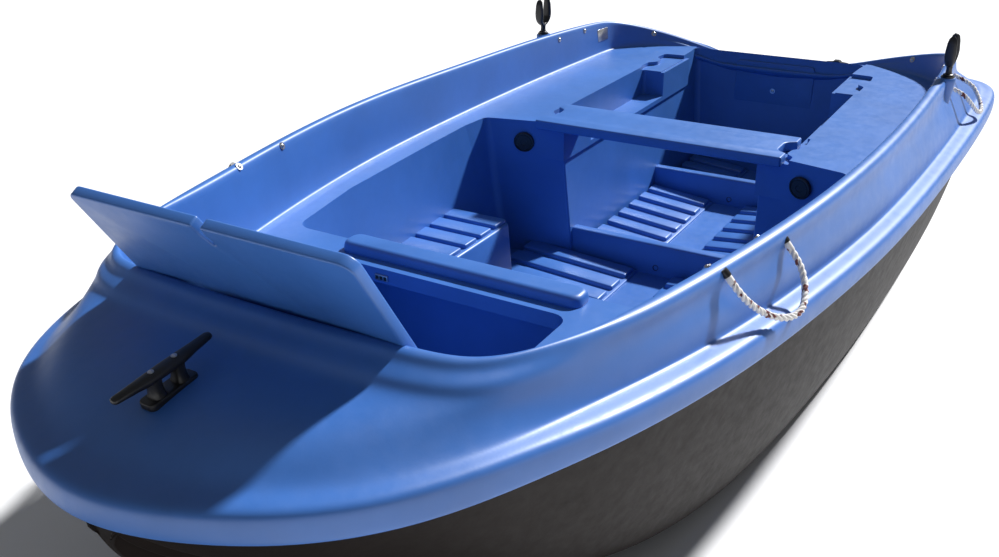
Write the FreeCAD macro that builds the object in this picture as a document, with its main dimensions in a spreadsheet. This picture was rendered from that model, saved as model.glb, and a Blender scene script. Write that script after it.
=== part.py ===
# Open rowing and fishing boat of about 3 m, moulded in double-skin plastic.
# Frame: X to the bow, Y to port, Z up, origin at the middle of the bottom on the ground. Millimetres.

import FreeCAD, Part

import math
import os

Vector = FreeCAD.Vector

# Driving sizes. The hull lines below are stretched to the first three.
SIZES = [
    ("hull_length", 3000.0),
    ("hull_beam", 1400.0),
    ("hull_depth", 650.0),
    ("lip_height", 52.0),
    ("lip_overhang", 40.0),
    ("lip_flat", 34.0),
    ("lip_round", 12.0),
    ("gunwale_width", 26.0),
    ("gunwale_drop", 46.0),
    ("inner_flare", 16.0),
    ("side_shelf_width", 66.0),
    ("shelf_height", 488.0),
    ("well_draft", 26.0),
    ("liner_wall", 10.0),
    ("floor_height", 76.0),
    ("floor_fall", 20.0),
    ("rib_height", 12.0),
    ("rib_pitch", 83.0),
    ("rib_groove", 24.0),
    ("rib_end_gap", 14.0),
    ("channel_width", 110.0),
    ("step_height", 205.0),
    ("step_length", 290.0),
    ("step_inner", 300.0),
    ("step_setback", 224.0),
    ("step_groove", 10.0),
    ("frame_height", 89.0),
    ("frame_thickness", 50.0),
    ("frame_setback", 40.0),
    ("frame_spacing", 606.0),
    ("coaming_inset", 348.0),
    ("coaming_land", 134.0),
    ("locker_length", 322.0),
    ("locker_half", 236.0),
    ("locker_floor", 170.0),
    ("locker_draft", 22.0),
    ("locker_land", 28.0),
    ("ridge_thickness", 58.0),
    ("ridge_rise", 22.0),
    ("ridge_half", 266.0),
    ("bench_length", 1030.0),
    ("quarter_bolt_inset", 24.0),
    ("bench_skew", 60.0),
    ("bench_skew_width", 206.0),
    ("bench_rake", 45.0),
    ("bench_inner", 343.0),
    ("bench_ledge", 62.0),
    ("ledge_draft", 19.0),
    ("ledge_drop", 93.0),
    ("notch_drop", 12.0),
    ("notch_margin", 6.0),
    ("notch_half", 107.0),
    ("aft_notch_inset", 126.0),
    ("transom_inset", 166.0),
    ("transom_thickness", 64.0),
    ("transom_drop", 12.0),
    ("transom_gap", 233.0),
    ("stern_notch_half", 262.0),
    ("lid_thickness", 18.0),
    ("lid_width", 508.0),
    ("lid_corner", 18.0),
    ("lid_side_gap", 5.0),
    ("lid_seat_gap", 1.0),
    ("lid_notch_width", 18.0),
    ("lid_notch_depth", 30.0),
    ("lid_notch_offset", 9.0),
    ("hinge_setback", 18.0),
    ("hinge_spacing", 320.0),
    ("hinge_length", 70.0),
    ("hinge_pin_diameter", 6.0),
    ("hinge_knuckle_diameter", 13.0),
    ("thwart_lead", 46.0),
    ("thwart_width", 182.0),
    ("thwart_thickness", 26.0),
    ("thwart_end_gap", 10.0),
    ("thwart_bite", 24.0),
    ("bump_height", 22.0),
    ("bump_half", 44.0),
    ("seat_gap", 0.3),
    ("hatch_diameter", 56.0),
    ("hatch_thickness", 10.0),
    ("hatch_chamfer", 2.0),
    ("hatch_offset", 42.0),
    ("hatch_drop", 63.0),
    ("oarlock_reach", 536.0),
    ("oarlock_offset", 16.0),
    ("oar_pin_diameter", 12.0),
    ("pin_clearance", 0.05),
    ("socket_depth", 56.0),
    ("socket_wall", 4.0),
    ("flange_diameter", 34.0),
    ("flange_height", 3.0),
    ("fork_height", 84.0),
    ("fork_gap", 42.0),
    ("fork_wall", 9.0),
    ("fork_breadth", 28.0),
    ("rope_diameter", 12.0),
    ("handle_bolt_diameter", 10.0),
    ("cleat_inset", 172.0),
    ("cleat_length", 168.0),
    ("cleat_height", 42.0),
    ("cleat_width", 24.0),
    ("cleat_base", 84.0),
    ("cleat_post", 18.0),
    ("motor_pad_width", 268.0),
    ("motor_pad_height", 216.0),
    ("motor_pad_thickness", 6.0),
    ("motor_pad_corner", 16.0),
    ("clip_length", 70.0),
    ("clip_width", 22.0),
    ("clip_height", 12.0),
]

doc = FreeCAD.newDocument("rowing_boat")
sheet = doc.addObject("Spreadsheet::Sheet", "sizes")
for row, (alias, value) in enumerate(SIZES, start=1):
    sheet.set("A%d" % row, alias)
    sheet.set("B%d" % row, str(value))
    sheet.setAlias("B%d" % row, alias)
doc.recompute()


def size(alias):
    return float(getattr(sheet, alias))


# Hull lines in half breadths, from the stem to the stern corners.
# Columns: station x, rim half breadth, rim height, crest half breadth, crest height,
# chine half breadth, chine height, keel height, rise of the tunnel beside the keel.
LINES = [
    (1500.0, 50.0, 556.0, 24.0, 559.0, 24.0, 494.0, 470.0, 0.0),
    (1450.0, 180.0, 555.0, 110.0, 565.0, 100.0, 446.0, 376.0, 0.0),
    (1395.0, 266.0, 553.0, 150.0, 588.0, 144.0, 412.0, 310.0, 0.0),
    (1320.0, 343.0, 551.0, 226.0, 604.0, 194.0, 374.0, 244.0, 3.0),
    (1212.0, 409.0, 548.0, 318.0, 614.0, 252.0, 320.0, 168.0, 9.0),
    (1186.0, 422.0, 548.0, 210.0, 644.0, 266.0, 306.0, 150.0, 10.0),
    (1152.0, 438.0, 547.0, 286.0, 650.0, 294.0, 287.0, 131.0, 13.0),
    (1128.0, 449.0, 546.0, 335.0, 647.0, 294.0, 274.0, 118.0, 14.0),
    (1060.0, 478.0, 543.0, 396.0, 644.0, 324.0, 238.0, 86.0, 17.0),
    (930.0, 522.0, 537.0, 447.0, 639.0, 374.0, 174.0, 50.0, 22.0),
    (700.0, 578.0, 523.0, 504.0, 635.0, 434.0, 80.0, 12.0, 26.0),
    (400.0, 625.0, 505.0, 557.0, 635.0, 484.0, 18.0, 0.0, 33.0),
    (0.0, 667.0, 487.0, 595.0, 628.0, 520.0, 0.0, 0.0, 38.0),
    (-400.0, 688.0, 475.0, 600.0, 616.0, 550.0, 0.0, 0.0, 38.0),
    (-800.0, 697.0, 465.0, 592.0, 607.0, 562.0, 0.0, 0.0, 38.0),
    (-1100.0, 700.0, 460.0, 574.0, 593.0, 564.0, 0.0, 0.0, 38.0),
    (-1216.0, 697.0, 457.0, 549.0, 579.0, 562.0, 0.0, 0.0, 38.0),
    (-1312.0, 691.0, 455.0, 468.0, 548.0, 560.0, 0.0, 0.0, 38.0),
    (-1400.0, 670.0, 453.0, 284.0, 486.0, 554.0, 4.0, 4.0, 35.0),
    (-1472.0, 610.0, 452.0, 262.0, 464.0, 504.0, 20.0, 20.0, 28.0),
    (-1500.0, 480.0, 451.0, 262.0, 458.0, 400.0, 44.0, 44.0, 20.0),
]
COLUMNS = ("rim_y", "rim_z", "crest_y", "crest_z", "chine_y", "chine_z", "keel_z", "tunnel")
HALF_BREADTHS = ("rim_y", "crest_y", "chine_y")

length_scale = size("hull_length") / (LINES[0][0] - LINES[-1][0])
beam_scale = size("hull_beam") / (2.0 * max(values[1] for values in LINES))
depth_scale = size("hull_depth") / max(values[4] for values in LINES)


def stations():
    """The table of offsets at the sheet's length, beam and depth."""
    rows = []
    for values in LINES:
        row = {"x": values[0] * length_scale}
        for name, value in zip(COLUMNS, values[1:]):
            row[name] = value * (beam_scale if name in HALF_BREADTHS else depth_scale)
        rows.append(row)
    return rows


STATIONS = stations()


def at(x):
    """The offsets at any x, straight between the two stations beside it, as the skin is."""
    rows = STATIONS
    for fore, aft in zip(rows, rows[1:]):
        if fore["x"] >= x >= aft["x"]:
            share = (fore["x"] - x) / (fore["x"] - aft["x"])
            row = {name: fore[name] + share * (aft[name] - fore[name]) for name in COLUMNS}
            row["x"] = x
            return row
    row = dict(rows[0] if x > rows[0]["x"] else rows[-1])
    row["x"] = x
    return row


def section_wire(x, half):
    """A closed section at x: half is the port side's points, from the centre line or not."""
    port = [Vector(x, y, z) for y, z in half]
    starboard = [Vector(x, -y, z) for y, z in reversed(half) if y > 0.0]
    return Part.makePolygon(port + starboard + port[:1])


def skin(rows, half_section):
    """A solid between ruled sections, one for each row of offsets."""
    wires = [section_wire(row["x"], half_section(row)) for row in rows]
    solid = Part.makeLoft(wires, True, True)
    if solid.Volume < 0:
        solid.reverse()
    return solid


NARROW = 200.0


def narrowing(half_breadth):
    """From 1 down to 0 where the boat is too narrow for the whole lip or gunwale."""
    return min(1.0, half_breadth / NARROW)


def side_breadth(row):
    """Half breadth of the hull's side just under the lip."""
    return row["rim_y"] - size("lip_overhang") * narrowing(row["rim_y"] * 0.5)


def lower_half(row):
    """Bottom of three keels and the flared side, up to the underside of the lip."""
    chine, keel, low = row["chine_y"], row["keel_z"], row["chine_z"]
    roof = (keel + low) * 0.5 + row["tunnel"]
    top = row["rim_z"] - size("lip_height")
    side = side_breadth(row)
    return [
        (0.0, keel),
        (chine * 0.12, keel),
        (chine * 0.30, roof),
        (chine * 0.54, roof),
        (chine * 0.70, low),
        (chine, low),
        (chine + (side - chine) * 0.22, low + (top - low) * 0.14),
        (side, top),
        (0.0, top),
    ]


def upper_half(row):
    """Lip, flat above it, hollow outer face, rounded gunwale and the deck's middle."""
    rim, rim_z = row["rim_y"], row["rim_z"]
    crest, crest_z = row["crest_y"], row["crest_z"]
    bottom = rim_z - size("lip_height")
    edge = size("lip_round") * narrowing(rim)
    shelf = rim - size("lip_flat") * narrowing(rim)
    rise = max(crest_z - rim_z, 1.0)
    drop = min(size("gunwale_drop"), rise * 0.55)
    half_top = min(size("gunwale_width") * 0.5, crest * 0.2)
    foot = min(crest + half_top + drop * 0.12, shelf - 6.0)
    foot_z = crest_z - drop
    shelf_z = rim_z + rise * 0.03
    return [
        (0.0, bottom),
        (rim - edge * 0.5, bottom),
        (rim, rim_z - edge),
        (rim - edge, rim_z),
        (shelf, shelf_z),
        (foot + (shelf - foot) * 0.42, foot_z + (shelf_z - foot_z) * 0.74),
        (foot, foot_z),
        (crest + half_top * 0.8, crest_z - min(half_top * 0.5, drop * 0.4)),
        (crest, crest_z),
        (0.0, crest_z),
    ]


def rows_between(fore, aft):
    """Offsets at fore, at every station between, and at aft."""
    inside = [row for row in STATIONS if aft + 1.0 < row["x"] < fore - 1.0]
    return [at(fore)] + inside + [at(aft)]


def inner_breadth(row):
    """Half breadth between the gunwales' inner edges."""
    return row["crest_y"] - size("gunwale_width") * 0.5


def top_opening_half(row):
    """The open space above the side shelves, between the gunwales."""
    inner = inner_breadth(row)
    return [
        (0.0, shelf_z),
        (inner - size("inner_flare"), shelf_z),
        (inner, max(row["crest_z"] - 10.0, shelf_z + 4.0)),
        (inner, high),
        (0.0, high),
    ]


def well_half(row, wall=0.0):
    """The foot well below the side shelves, narrower at the floor; wall is the liner around it."""
    edge = inner_breadth(row) - size("inner_flare") - size("side_shelf_width")
    return [
        (0.0, floor_z - wall),
        (edge - size("well_draft") + wall, floor_z - wall),
        (edge + wall, shelf_z + 1.0),
        (0.0, shelf_z + 1.0),
    ]


def box(x_low, x_high, y_low, y_high, z_low, z_high):
    return Part.makeBox(x_high - x_low, y_high - y_low, z_high - z_low, Vector(x_low, y_low, z_low))


def outline(corners):
    """Lines and arcs round a closed outline of (x, y, corner radius)."""
    ends = []
    for index, (x, y, radius) in enumerate(corners):
        corner = Vector(x, y, 0)
        before = Vector(corners[index - 1][0], corners[index - 1][1], 0) - corner
        after_x, after_y, _ = corners[(index + 1) % len(corners)]
        after = Vector(after_x, after_y, 0) - corner
        if radius <= 0.0:
            ends.append((corner, None, corner))
            continue
        half = before.getAngle(after) * 0.5
        reach = radius / math.tan(half)
        before.normalize()
        after.normalize()
        bisector = before + after
        bisector.normalize()
        middle = corner + bisector * (radius / math.sin(half) - radius)
        ends.append((corner + before * reach, middle, corner + after * reach))
    pieces = []
    for index, (start, middle, end) in enumerate(ends):
        if middle is not None:
            pieces.append(Part.Arc(start, middle, end))
        pieces.append(Part.LineSegment(end, ends[(index + 1) % len(ends)][0]))
    return pieces


def prism(corners, z_low, z_high):
    """A straight prism on a plan of (x, y, corner radius)."""
    face = Part.Face(Part.Wire([piece.toShape() for piece in outline(corners)]))
    face.translate(Vector(0, 0, z_low))
    return face.extrude(Vector(0, 0, z_high - z_low))


def tapered(low_plan, z_low, high_plan, z_high):
    """A ruled solid between a plan at one height and a plan of as many corners at another."""
    wires = []
    for plan, z in ((low_plan, z_low), (high_plan, z_high)):
        points = [Vector(x, y, z) for x, y in plan]
        wires.append(Part.makePolygon(points + points[:1]))
    solid = Part.makeLoft(wires, True, True)
    if solid.Volume < 0:
        solid.reverse()
    return solid


def mirror(shape):
    return shape.mirror(Vector(0, 0, 0), Vector(0, 1, 0))


def feature(name, shape):
    """One sub-part whose shape is worked out above from the sheet's sizes."""
    item = doc.addObject("Part::Feature", name)
    item.Label = name
    item.Shape = shape
    NODES.append(item)
    return item


def solid_of(shape):
    """The one solid of a boolean's result, or the compound when there are several."""
    shape = shape.removeSplitter()
    return shape.Solids[0] if len(shape.Solids) == 1 else Part.makeCompound(shape.Solids)


NODES = []
half_length = size("hull_length") * 0.5
far_out = size("hull_beam")
high = size("hull_depth") + 60.0
shelf_z = size("shelf_height")
floor_z = size("floor_height")
liner_wall = size("liner_wall")

# The lengthwise plan, from the bow back to the bulkhead and from the stern forward to the benches.
coaming_front = half_length - size("coaming_inset")
locker_fore = coaming_front - size("coaming_land")
locker_aft = locker_fore - size("locker_length")
ridge_fore = locker_aft - size("locker_land")
ridge_aft = ridge_fore - size("ridge_thickness")
transom_in = -half_length + size("transom_inset")
transom_out = transom_in - size("transom_thickness")
transom_top = shelf_z - size("transom_drop")
bench_front = transom_in + size("bench_length")
ledge_inner = size("bench_inner") - size("bench_ledge")

# Hollows that the mouldings share.
opening = skin(rows_between(coaming_front, transom_in), top_opening_half)
well = skin(rows_between(ridge_aft, transom_in), well_half)
well_tub = skin(rows_between(ridge_aft + liner_wall, transom_in - liner_wall),
                lambda row: well_half(row, liner_wall))
locker_fore_floor = at(locker_fore)["chine_z"] + size("liner_wall") * 2.0


def locker_block(wall):
    """The locker's hollow, or with a wall the tub around it; its floor rises with the hull."""
    half, low_half = size("locker_half") + wall, size("locker_half") - size("locker_draft") + wall
    wires = []
    for x, floor in ((locker_fore + wall, locker_fore_floor), (locker_aft - wall, size("locker_floor"))):
        points = [Vector(x, low_half, floor - wall), Vector(x, half, shelf_z + 1.0),
                  Vector(x, -half, shelf_z + 1.0), Vector(x, -low_half, floor - wall)]
        wires.append(Part.makePolygon(points + points[:1]))
    return Part.makeLoft(wires, True, True)


locker = locker_block(0.0)
locker_tub = locker_block(liner_wall)
motor_gap = box(-half_length - 10.0, transom_in + 1.0, -size("transom_gap"), size("transom_gap"),
                transom_top, high)
stern_notch = box(-half_length - 10.0, transom_out, -size("stern_notch_half"),
                  size("stern_notch_half"), -10.0, high)

lower = skin(STATIONS, lower_half)
hull = lower.cut(well_tub).cut(locker_tub).cut(opening).cut(stern_notch)
cockpit_liner = lower.common(well_tub).cut(well).cut(opening)
locker_liner = lower.common(locker_tub).cut(locker).cut(opening)
upper = skin(STATIONS, upper_half)
deck = upper.cut(opening).cut(well).cut(locker).cut(motor_gap).cut(stern_notch)


def bound(kind, name, place, **expressions):
    """A Part primitive whose sizes follow the sheet."""
    item = doc.addObject("Part::" + kind, name)
    for prop, expression in expressions.items():
        item.setExpression(prop, expression)
    item.Placement = place
    return item


def faceted(name, place, radius, length):
    """A bar of twelve flats, for small turned pieces."""
    item = doc.addObject("Part::Prism", name)
    item.Polygon = 12
    item.setExpression("Circumradius", radius)
    item.setExpression("Height", length)
    item.Placement = place
    return item


def place(x, y, z, axis=(0, 0, 1), angle=0.0):
    return FreeCAD.Placement(Vector(x, y, z), FreeCAD.Rotation(Vector(*axis), angle))


def fused(name, items):
    joined = doc.addObject("Part::MultiFuse", name)
    joined.Shapes = items
    joined.Label = name
    return joined


def cut(name, base, tool):
    result = doc.addObject("Part::Cut", name)
    result.Base = base
    result.Tool = tool
    result.Label = name
    return result


def plate(name, corners, thickness, where):
    """A body padded from an outline of lines and arcs, its thickness bound to the sheet."""
    body = doc.addObject("PartDesign::Body", name)
    body.Label = name
    flat = [item for item in body.Origin.OriginFeatures if item.Role == "XY_Plane"][0]
    sketch = body.newObject("Sketcher::SketchObject", name + "_outline")
    sketch.AttachmentSupport = (flat, [""])
    sketch.MapMode = "FlatFace"
    for piece in outline(corners):
        sketch.addGeometry(piece, False)
    doc.recompute()
    pad = body.newObject("PartDesign::Pad", name + "_pad")
    pad.Profile = sketch
    pad.setExpression("Length", thickness)
    body.Placement = where
    doc.recompute()
    return body


def keep(item):
    doc.recompute()
    NODES.append(item)
    return item


def copy_across(name, item):
    """The starboard twin of a port piece."""
    twin = doc.addObject("Part::Mirroring", name)
    twin.Source = item
    twin.Base = Vector(0, 0, 0)
    twin.Normal = Vector(0, 1, 0)
    twin.Label = name
    doc.recompute()
    NODES.append(twin)
    return twin


FACING_FORE = ((0, 1, 0), 90.0)
FACING_PORT = ((1, 0, 0), -90.0)

# Round plugs on the leaning front faces of the benches, partly let in.
bench_height = shelf_z - floor_z
hatch_y = size("bench_inner") + size("hatch_offset")
hatch_x = (bench_front + size("bench_skew") * (hatch_y - ledge_inner) / size("bench_skew_width")
           - size("bench_rake") * size("hatch_drop") / bench_height)
along_front = Vector(size("bench_skew"), size("bench_skew_width"), 0)
up_front = Vector(size("bench_rake"), 0, bench_height)
hatch_turn = FreeCAD.Rotation(Vector(0, 0, 1), along_front.cross(up_front))
hatch_seat = Vector(hatch_x, hatch_y, shelf_z - size("hatch_drop"))
hatch_back = hatch_seat - hatch_turn.multVec(Vector(0, 0, size("hatch_thickness") * 0.4))
hatch_disc = bound("Cylinder", "hatch_port_disc", FreeCAD.Placement(hatch_back, hatch_turn),
                   Radius="sizes.hatch_diameter / 2",
                   Height="sizes.hatch_thickness - sizes.hatch_chamfer")
hatch_face = hatch_back + hatch_turn.multVec(Vector(0, 0, size("hatch_thickness") - size("hatch_chamfer")))
hatch_rim = bound("Cone", "hatch_port_rim", FreeCAD.Placement(hatch_face, hatch_turn),
                  Radius1="sizes.hatch_diameter / 2",
                  Radius2="sizes.hatch_diameter / 2 - sizes.hatch_chamfer", Height="sizes.hatch_chamfer")
hatch = keep(fused("hatch_cover_port", [hatch_disc, hatch_rim]))
copy_across("hatch_cover_starboard", hatch)

# Rope handles: through bolts in the gunwale wall carry the ends of each loop.
rope_radius = size("rope_diameter") * 0.5
FORE_ROPE = [(676, 550, 590), (650, 563, 563), (624, 578, 541), (600, 596, 528), (574, 610, 524),
             (546, 615, 526), (517, 610, 537), (496, 600, 556), (485, 587, 578)]
AFT_ROPE = [(-874, 640, 552), (-886, 662, 528), (-908, 678, 500), (-938, 686, 485), (-970, 688, 484),
            (-1000, 681, 494), (-1022, 665, 516), (-1035, 643, 541)]
# Columns: end of the boat, (station, drop below the crest) of both eyes, route of the rope.
HANDLES = [
    ("fore", ((678.0, 25.0), (483.0, 35.0)), FORE_ROPE),
    ("aft", ((-868.0, 42.0), (-1038.0, 42.0)), AFT_ROPE),
]
BOLT_HEAD = 5.0
EYE_REACH = 14.0


def eye_seat(x, drop):
    """Where a handle bolt leaves the steep face under the gunwale."""
    row = at(x)
    return Vector(x, row["crest_y"] + size("gunwale_width") * 0.5 + 3.0, row["crest_z"] - drop)


def handle_bolts(name, seats, points):
    """Two through bolts, each with an inner head and an eye that faces along the rope's first run."""
    parts = []
    runs = ((points[0], points[1]), (points[-1], points[-2]))
    for index, (seat, (start, after)) in enumerate(zip(seats, runs)):
        inside = at(seat.x)["crest_y"] - size("gunwale_width") * 0.5
        shank = faceted("%s_shank_%d" % (name, index), place(seat.x, inside - 4.0, seat.z, *FACING_PORT),
                        "sizes.handle_bolt_diameter / 2", "%g" % (seat.y - inside + 8.0))
        head = faceted("%s_head_%d" % (name, index), place(seat.x, inside - 6.0, seat.z, *FACING_PORT),
                       "sizes.handle_bolt_diameter * 0.85", "%g" % BOLT_HEAD)
        along = after - start
        along.normalize()
        turn = FreeCAD.Rotation(Vector(0, 0, 1), along)
        eye = faceted("%s_eye_%d" % (name, index), FreeCAD.Placement(start - along * EYE_REACH, turn),
                      "sizes.rope_diameter / 2 + 2.5", "%g" % EYE_REACH)
        parts += [shank, head, eye]
    return keep(fused(name, parts))


def rope_path(points):
    """Straight runs joined by tangent arcs, each as large as its two runs allow."""
    edges = []
    last = points[0]
    for before, corner, after in zip(points, points[1:], points[2:]):
        inward, outward = corner - before, after - corner
        turn = inward.getAngle(outward)
        reach = 0.45 * min(inward.Length, outward.Length)
        radius = reach / math.tan(turn * 0.5)
        inward.normalize()
        outward.normalize()
        start, end = corner - inward * reach, corner + outward * reach
        bisector = outward - inward
        bisector.normalize()
        middle = corner + bisector * (radius / math.cos(turn * 0.5) - radius)
        edges.append(Part.LineSegment(last, start).toShape())
        edges.append(Part.Arc(start, middle, end).toShape())
        last = end
        ROPE_RADII.append(radius)
    edges.append(Part.LineSegment(last, points[-1]).toShape())
    return Part.Wire(edges)


ROPE_FLATS = 6


def rope_tube(points):
    """A plain tube of six flats along the rope's route, with the round rope's section area."""
    path = rope_path(points)
    along = points[1] - points[0]
    turn = FreeCAD.Rotation(Vector(0, 0, 1), along)
    step = 2.0 * math.pi / ROPE_FLATS
    reach = rope_radius * math.sqrt(step / math.sin(step))
    corners = [points[0] + turn.multVec(Vector(reach * math.cos(step * n), reach * math.sin(step * n), 0))
               for n in range(ROPE_FLATS)]
    ring = Part.makePolygon(corners + corners[:1])
    tube = path.makePipeShell([ring], True, False, 2)
    expected = math.pi * rope_radius ** 2 * path.Length
    if abs(tube.Volume - expected) > 0.02 * expected:
        raise RuntimeError("a rope's tube has the wrong volume: %.0f, not %.0f" % (tube.Volume, expected))
    ROPE_LENGTHS.append(path.Length)
    return tube


ROPE_RADII = []
ROPE_LENGTHS = []
ROPE_ENDS = []
for end, eyes, route in HANDLES:
    seats = [eye_seat(x, drop) for x, drop in eyes]
    ends = [seat + Vector(0, 10.0, 0) for seat in seats]
    points = [ends[0]] + [Vector(*point) for point in route] + [ends[1]]
    ROPE_ENDS.extend(ends)
    bolts = handle_bolts("handle_bolts_%s_port" % end, seats, points)
    rope = feature("rope_handle_%s_port" % end, rope_tube(points))
    copy_across("handle_bolts_%s_starboard" % end, bolts)
    feature("rope_handle_%s_starboard" % end, mirror(rope.Shape))
print("rope radii", [round(radius) for radius in ROPE_RADII], "lengths", [round(n) for n in ROPE_LENGTHS])

# Oarlocks turn in sockets that stand in a swelling of each gunwale.
oar_x = transom_in + size("oarlock_reach")
oar_row = at(oar_x)
oar_y = oar_row["crest_y"] + size("oarlock_offset")
oar_top = oar_row["crest_z"] + 1.0
socket_depth = size("socket_depth")
pin_radius = size("oar_pin_diameter") * 0.5
boss_depth = socket_depth + 18.0
boss = Part.makeCone(17.0, 27.0, boss_depth, Vector(oar_x, oar_y, oar_top - boss_depth))
sleeve = faceted("socket_sleeve", place(oar_x, oar_y, oar_top - socket_depth),
                 "sizes.oar_pin_diameter / 2 + sizes.socket_wall * 1.1", "sizes.socket_depth")
flange = bound("Cylinder", "socket_flange", place(oar_x, oar_y, oar_top),
               Radius="sizes.flange_diameter / 2", Height="sizes.flange_height")
socket_outside = fused("socket_outside", [sleeve, flange])
socket_bore = bound("Cylinder", "socket_bore", place(oar_x, oar_y, oar_top - socket_depth + 4.0),
                    Radius="sizes.oar_pin_diameter / 2 + sizes.pin_clearance", Height="sizes.socket_depth")
oar_socket = keep(cut("oarlock_socket_port", socket_outside, socket_bore))
copy_across("oarlock_socket_starboard", oar_socket)

collar_z = oar_top + size("flange_height") + size("seat_gap")
collar_height = 5.0
stem_height = 18.0
fork_low = collar_z + collar_height + stem_height
fork_half = size("fork_gap") * 0.5
fork_outer = fork_half + size("fork_wall")
fork_bend_z = fork_low + fork_outer
fork_top = fork_low + size("fork_height")


def fork_u(half, low_round, top):
    """A block with a round bottom, as seen from the side of the boat."""
    bend = Part.makeCylinder(low_round, far_out * 0.1, Vector(oar_x, oar_y - far_out * 0.05, fork_bend_z),
                             Vector(0, 1, 0))
    return bend.fuse(box(oar_x - half, oar_x + half, oar_y - far_out * 0.05, oar_y + far_out * 0.05,
                         fork_bend_z, top))


def leaf(width, low, top, reach):
    """A pointed leaf of two arcs, as seen along the boat, drawn out to both sides of the pin."""
    x = oar_x - reach
    foot, tip = Vector(x, oar_y, low), Vector(x, oar_y, top)
    middle = low + (top - low) * 0.52
    port_side = Part.Arc(foot, Vector(x, oar_y + width * 0.5, middle), tip).toShape()
    other_side = Part.Arc(tip, Vector(x, oar_y - width * 0.5, middle), foot).toShape()
    return Part.Face(Part.Wire([port_side, other_side])).extrude(Vector(reach * 2.0, 0, 0))


pin = Part.makeCylinder(pin_radius, socket_depth - 8.0, Vector(oar_x, oar_y, collar_z - socket_depth + 8.0))
collar = Part.makeCylinder(13.0, collar_height, Vector(oar_x, oar_y, collar_z))
stem_low = Vector(oar_x, oar_y, collar_z + collar_height)
stem = Part.makeCone(9.0, 7.5, stem_height + size("fork_wall") * 0.5, stem_low)
horns = fork_u(fork_outer, fork_outer, fork_top).cut(fork_u(fork_half, fork_half, fork_top + 10.0))
horns = horns.common(leaf(size("fork_breadth"), fork_low - 18.0, fork_top + 6.0, fork_outer + 5.0))
oarlock = feature("oarlock_port", solid_of(pin.fuse([collar, stem, horns])))
feature("oarlock_starboard", mirror(oarlock.Shape))


def deck_height(x):
    return at(x)["crest_z"]


# Foredeck cleat on the centre line, its base let into the sloping deck.
cleat_x = half_length - size("cleat_inset")
cleat_half = size("cleat_length") * 0.5
base_half = size("cleat_base") * 0.5
post_half = size("cleat_post") * 0.5
cleat_top = size("cleat_height")
CLEAT_SINK = 5.0
POST_PLACE = 20.0
BAR_DEPTH = 15.0
side_corners = [
    (cleat_half, cleat_top, 3.0), (-cleat_half, cleat_top, 3.0), (-cleat_half, cleat_top - 9.0, 3.0),
    (-POST_PLACE - post_half, cleat_top - BAR_DEPTH, 0.0), (-POST_PLACE - post_half, 0.0, 0.0),
    (-POST_PLACE + post_half, 0.0, 0.0), (-POST_PLACE + post_half, cleat_top - BAR_DEPTH, 0.0),
    (POST_PLACE - post_half, cleat_top - BAR_DEPTH, 0.0), (POST_PLACE - post_half, 0.0, 0.0),
    (POST_PLACE + post_half, 0.0, 0.0), (POST_PLACE + post_half, cleat_top - BAR_DEPTH, 0.0),
    (cleat_half, cleat_top - 9.0, 3.0),
]
bar_half = size("cleat_width") * 0.5
plan_corners = [
    (cleat_half, -5.0, 0.0), (cleat_half, 5.0, 0.0), (base_half, bar_half, 0.0), (-base_half, bar_half, 0.0),
    (-cleat_half, 5.0, 0.0), (-cleat_half, -5.0, 0.0),
    (-base_half, -bar_half, 0.0), (base_half, -bar_half, 0.0),
]
cleat_bar = prism(side_corners, -bar_half, bar_half)
cleat_bar.rotate(Vector(0, 0, 0), Vector(1, 0, 0), 90.0)
cleat_bar = cleat_bar.common(prism(plan_corners, -1.0, cleat_top + 1.0))
base_side = bar_half + 3.0
cleat_foot = prism([(base_half, -base_side, 9.0), (base_half, base_side, 9.0), (-base_half, base_side, 9.0),
                    (-base_half, -base_side, 9.0)], -CLEAT_SINK, 6.0)
cleat_shape = solid_of(cleat_bar.fuse(cleat_foot))
slope_run = 60.0
deck_fall = deck_height(cleat_x + slope_run) - deck_height(cleat_x - slope_run)
cleat_slope = math.degrees(math.atan2(deck_fall, 2.0 * slope_run))
cleat_shape.rotate(Vector(0, 0, 0), Vector(0, 1, 0), -cleat_slope)
cleat_shape.translate(Vector(cleat_x, 0, deck_height(cleat_x)))
feature("foredeck_cleat", cleat_shape)

# Transom: pads for a motor clamp inside and outside and a line clip on top.
pad_half_width = size("motor_pad_width") * 0.5
pad_half_height = size("motor_pad_height") * 0.5
pad_corner = size("motor_pad_corner")
pad_z = transom_top - 12.0 - pad_half_height
PAD_SINK = 2.0
pad_corners = [(pad_half_height, -pad_half_width, pad_corner), (pad_half_height, pad_half_width, pad_corner),
               (-pad_half_height, pad_half_width, pad_corner),
               (-pad_half_height, -pad_half_width, pad_corner)]
pad_in = keep(plate("motor_pad_inner", pad_corners, "sizes.motor_pad_thickness",
                    place(transom_in - PAD_SINK, 0, pad_z, *FACING_FORE)))
pad_out = keep(plate("motor_pad_outer", pad_corners, "sizes.motor_pad_thickness",
                     place(transom_out + PAD_SINK - size("motor_pad_thickness"), 0, pad_z, *FACING_FORE)))
clip_length, clip_height = size("clip_length"), size("clip_height")
clip_corners = [(2.0, 0.0, 0.0), (2.0, clip_length, 0.0), (-4.0, clip_length, 1.5),
                (-6.0, clip_length * 0.7, 0.0), (-clip_height, clip_length * 0.62, 2.0),
                (-clip_height, clip_length * 0.38, 2.0), (-6.0, clip_length * 0.3, 0.0), (-4.0, 0.0, 1.5)]
clip_y = size("transom_gap") - 5.0 - clip_length
clip = keep(plate("transom_line_clip", clip_corners, "sizes.clip_width",
                  place(transom_in - 44.0, clip_y, transom_top, *FACING_FORE)))

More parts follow.
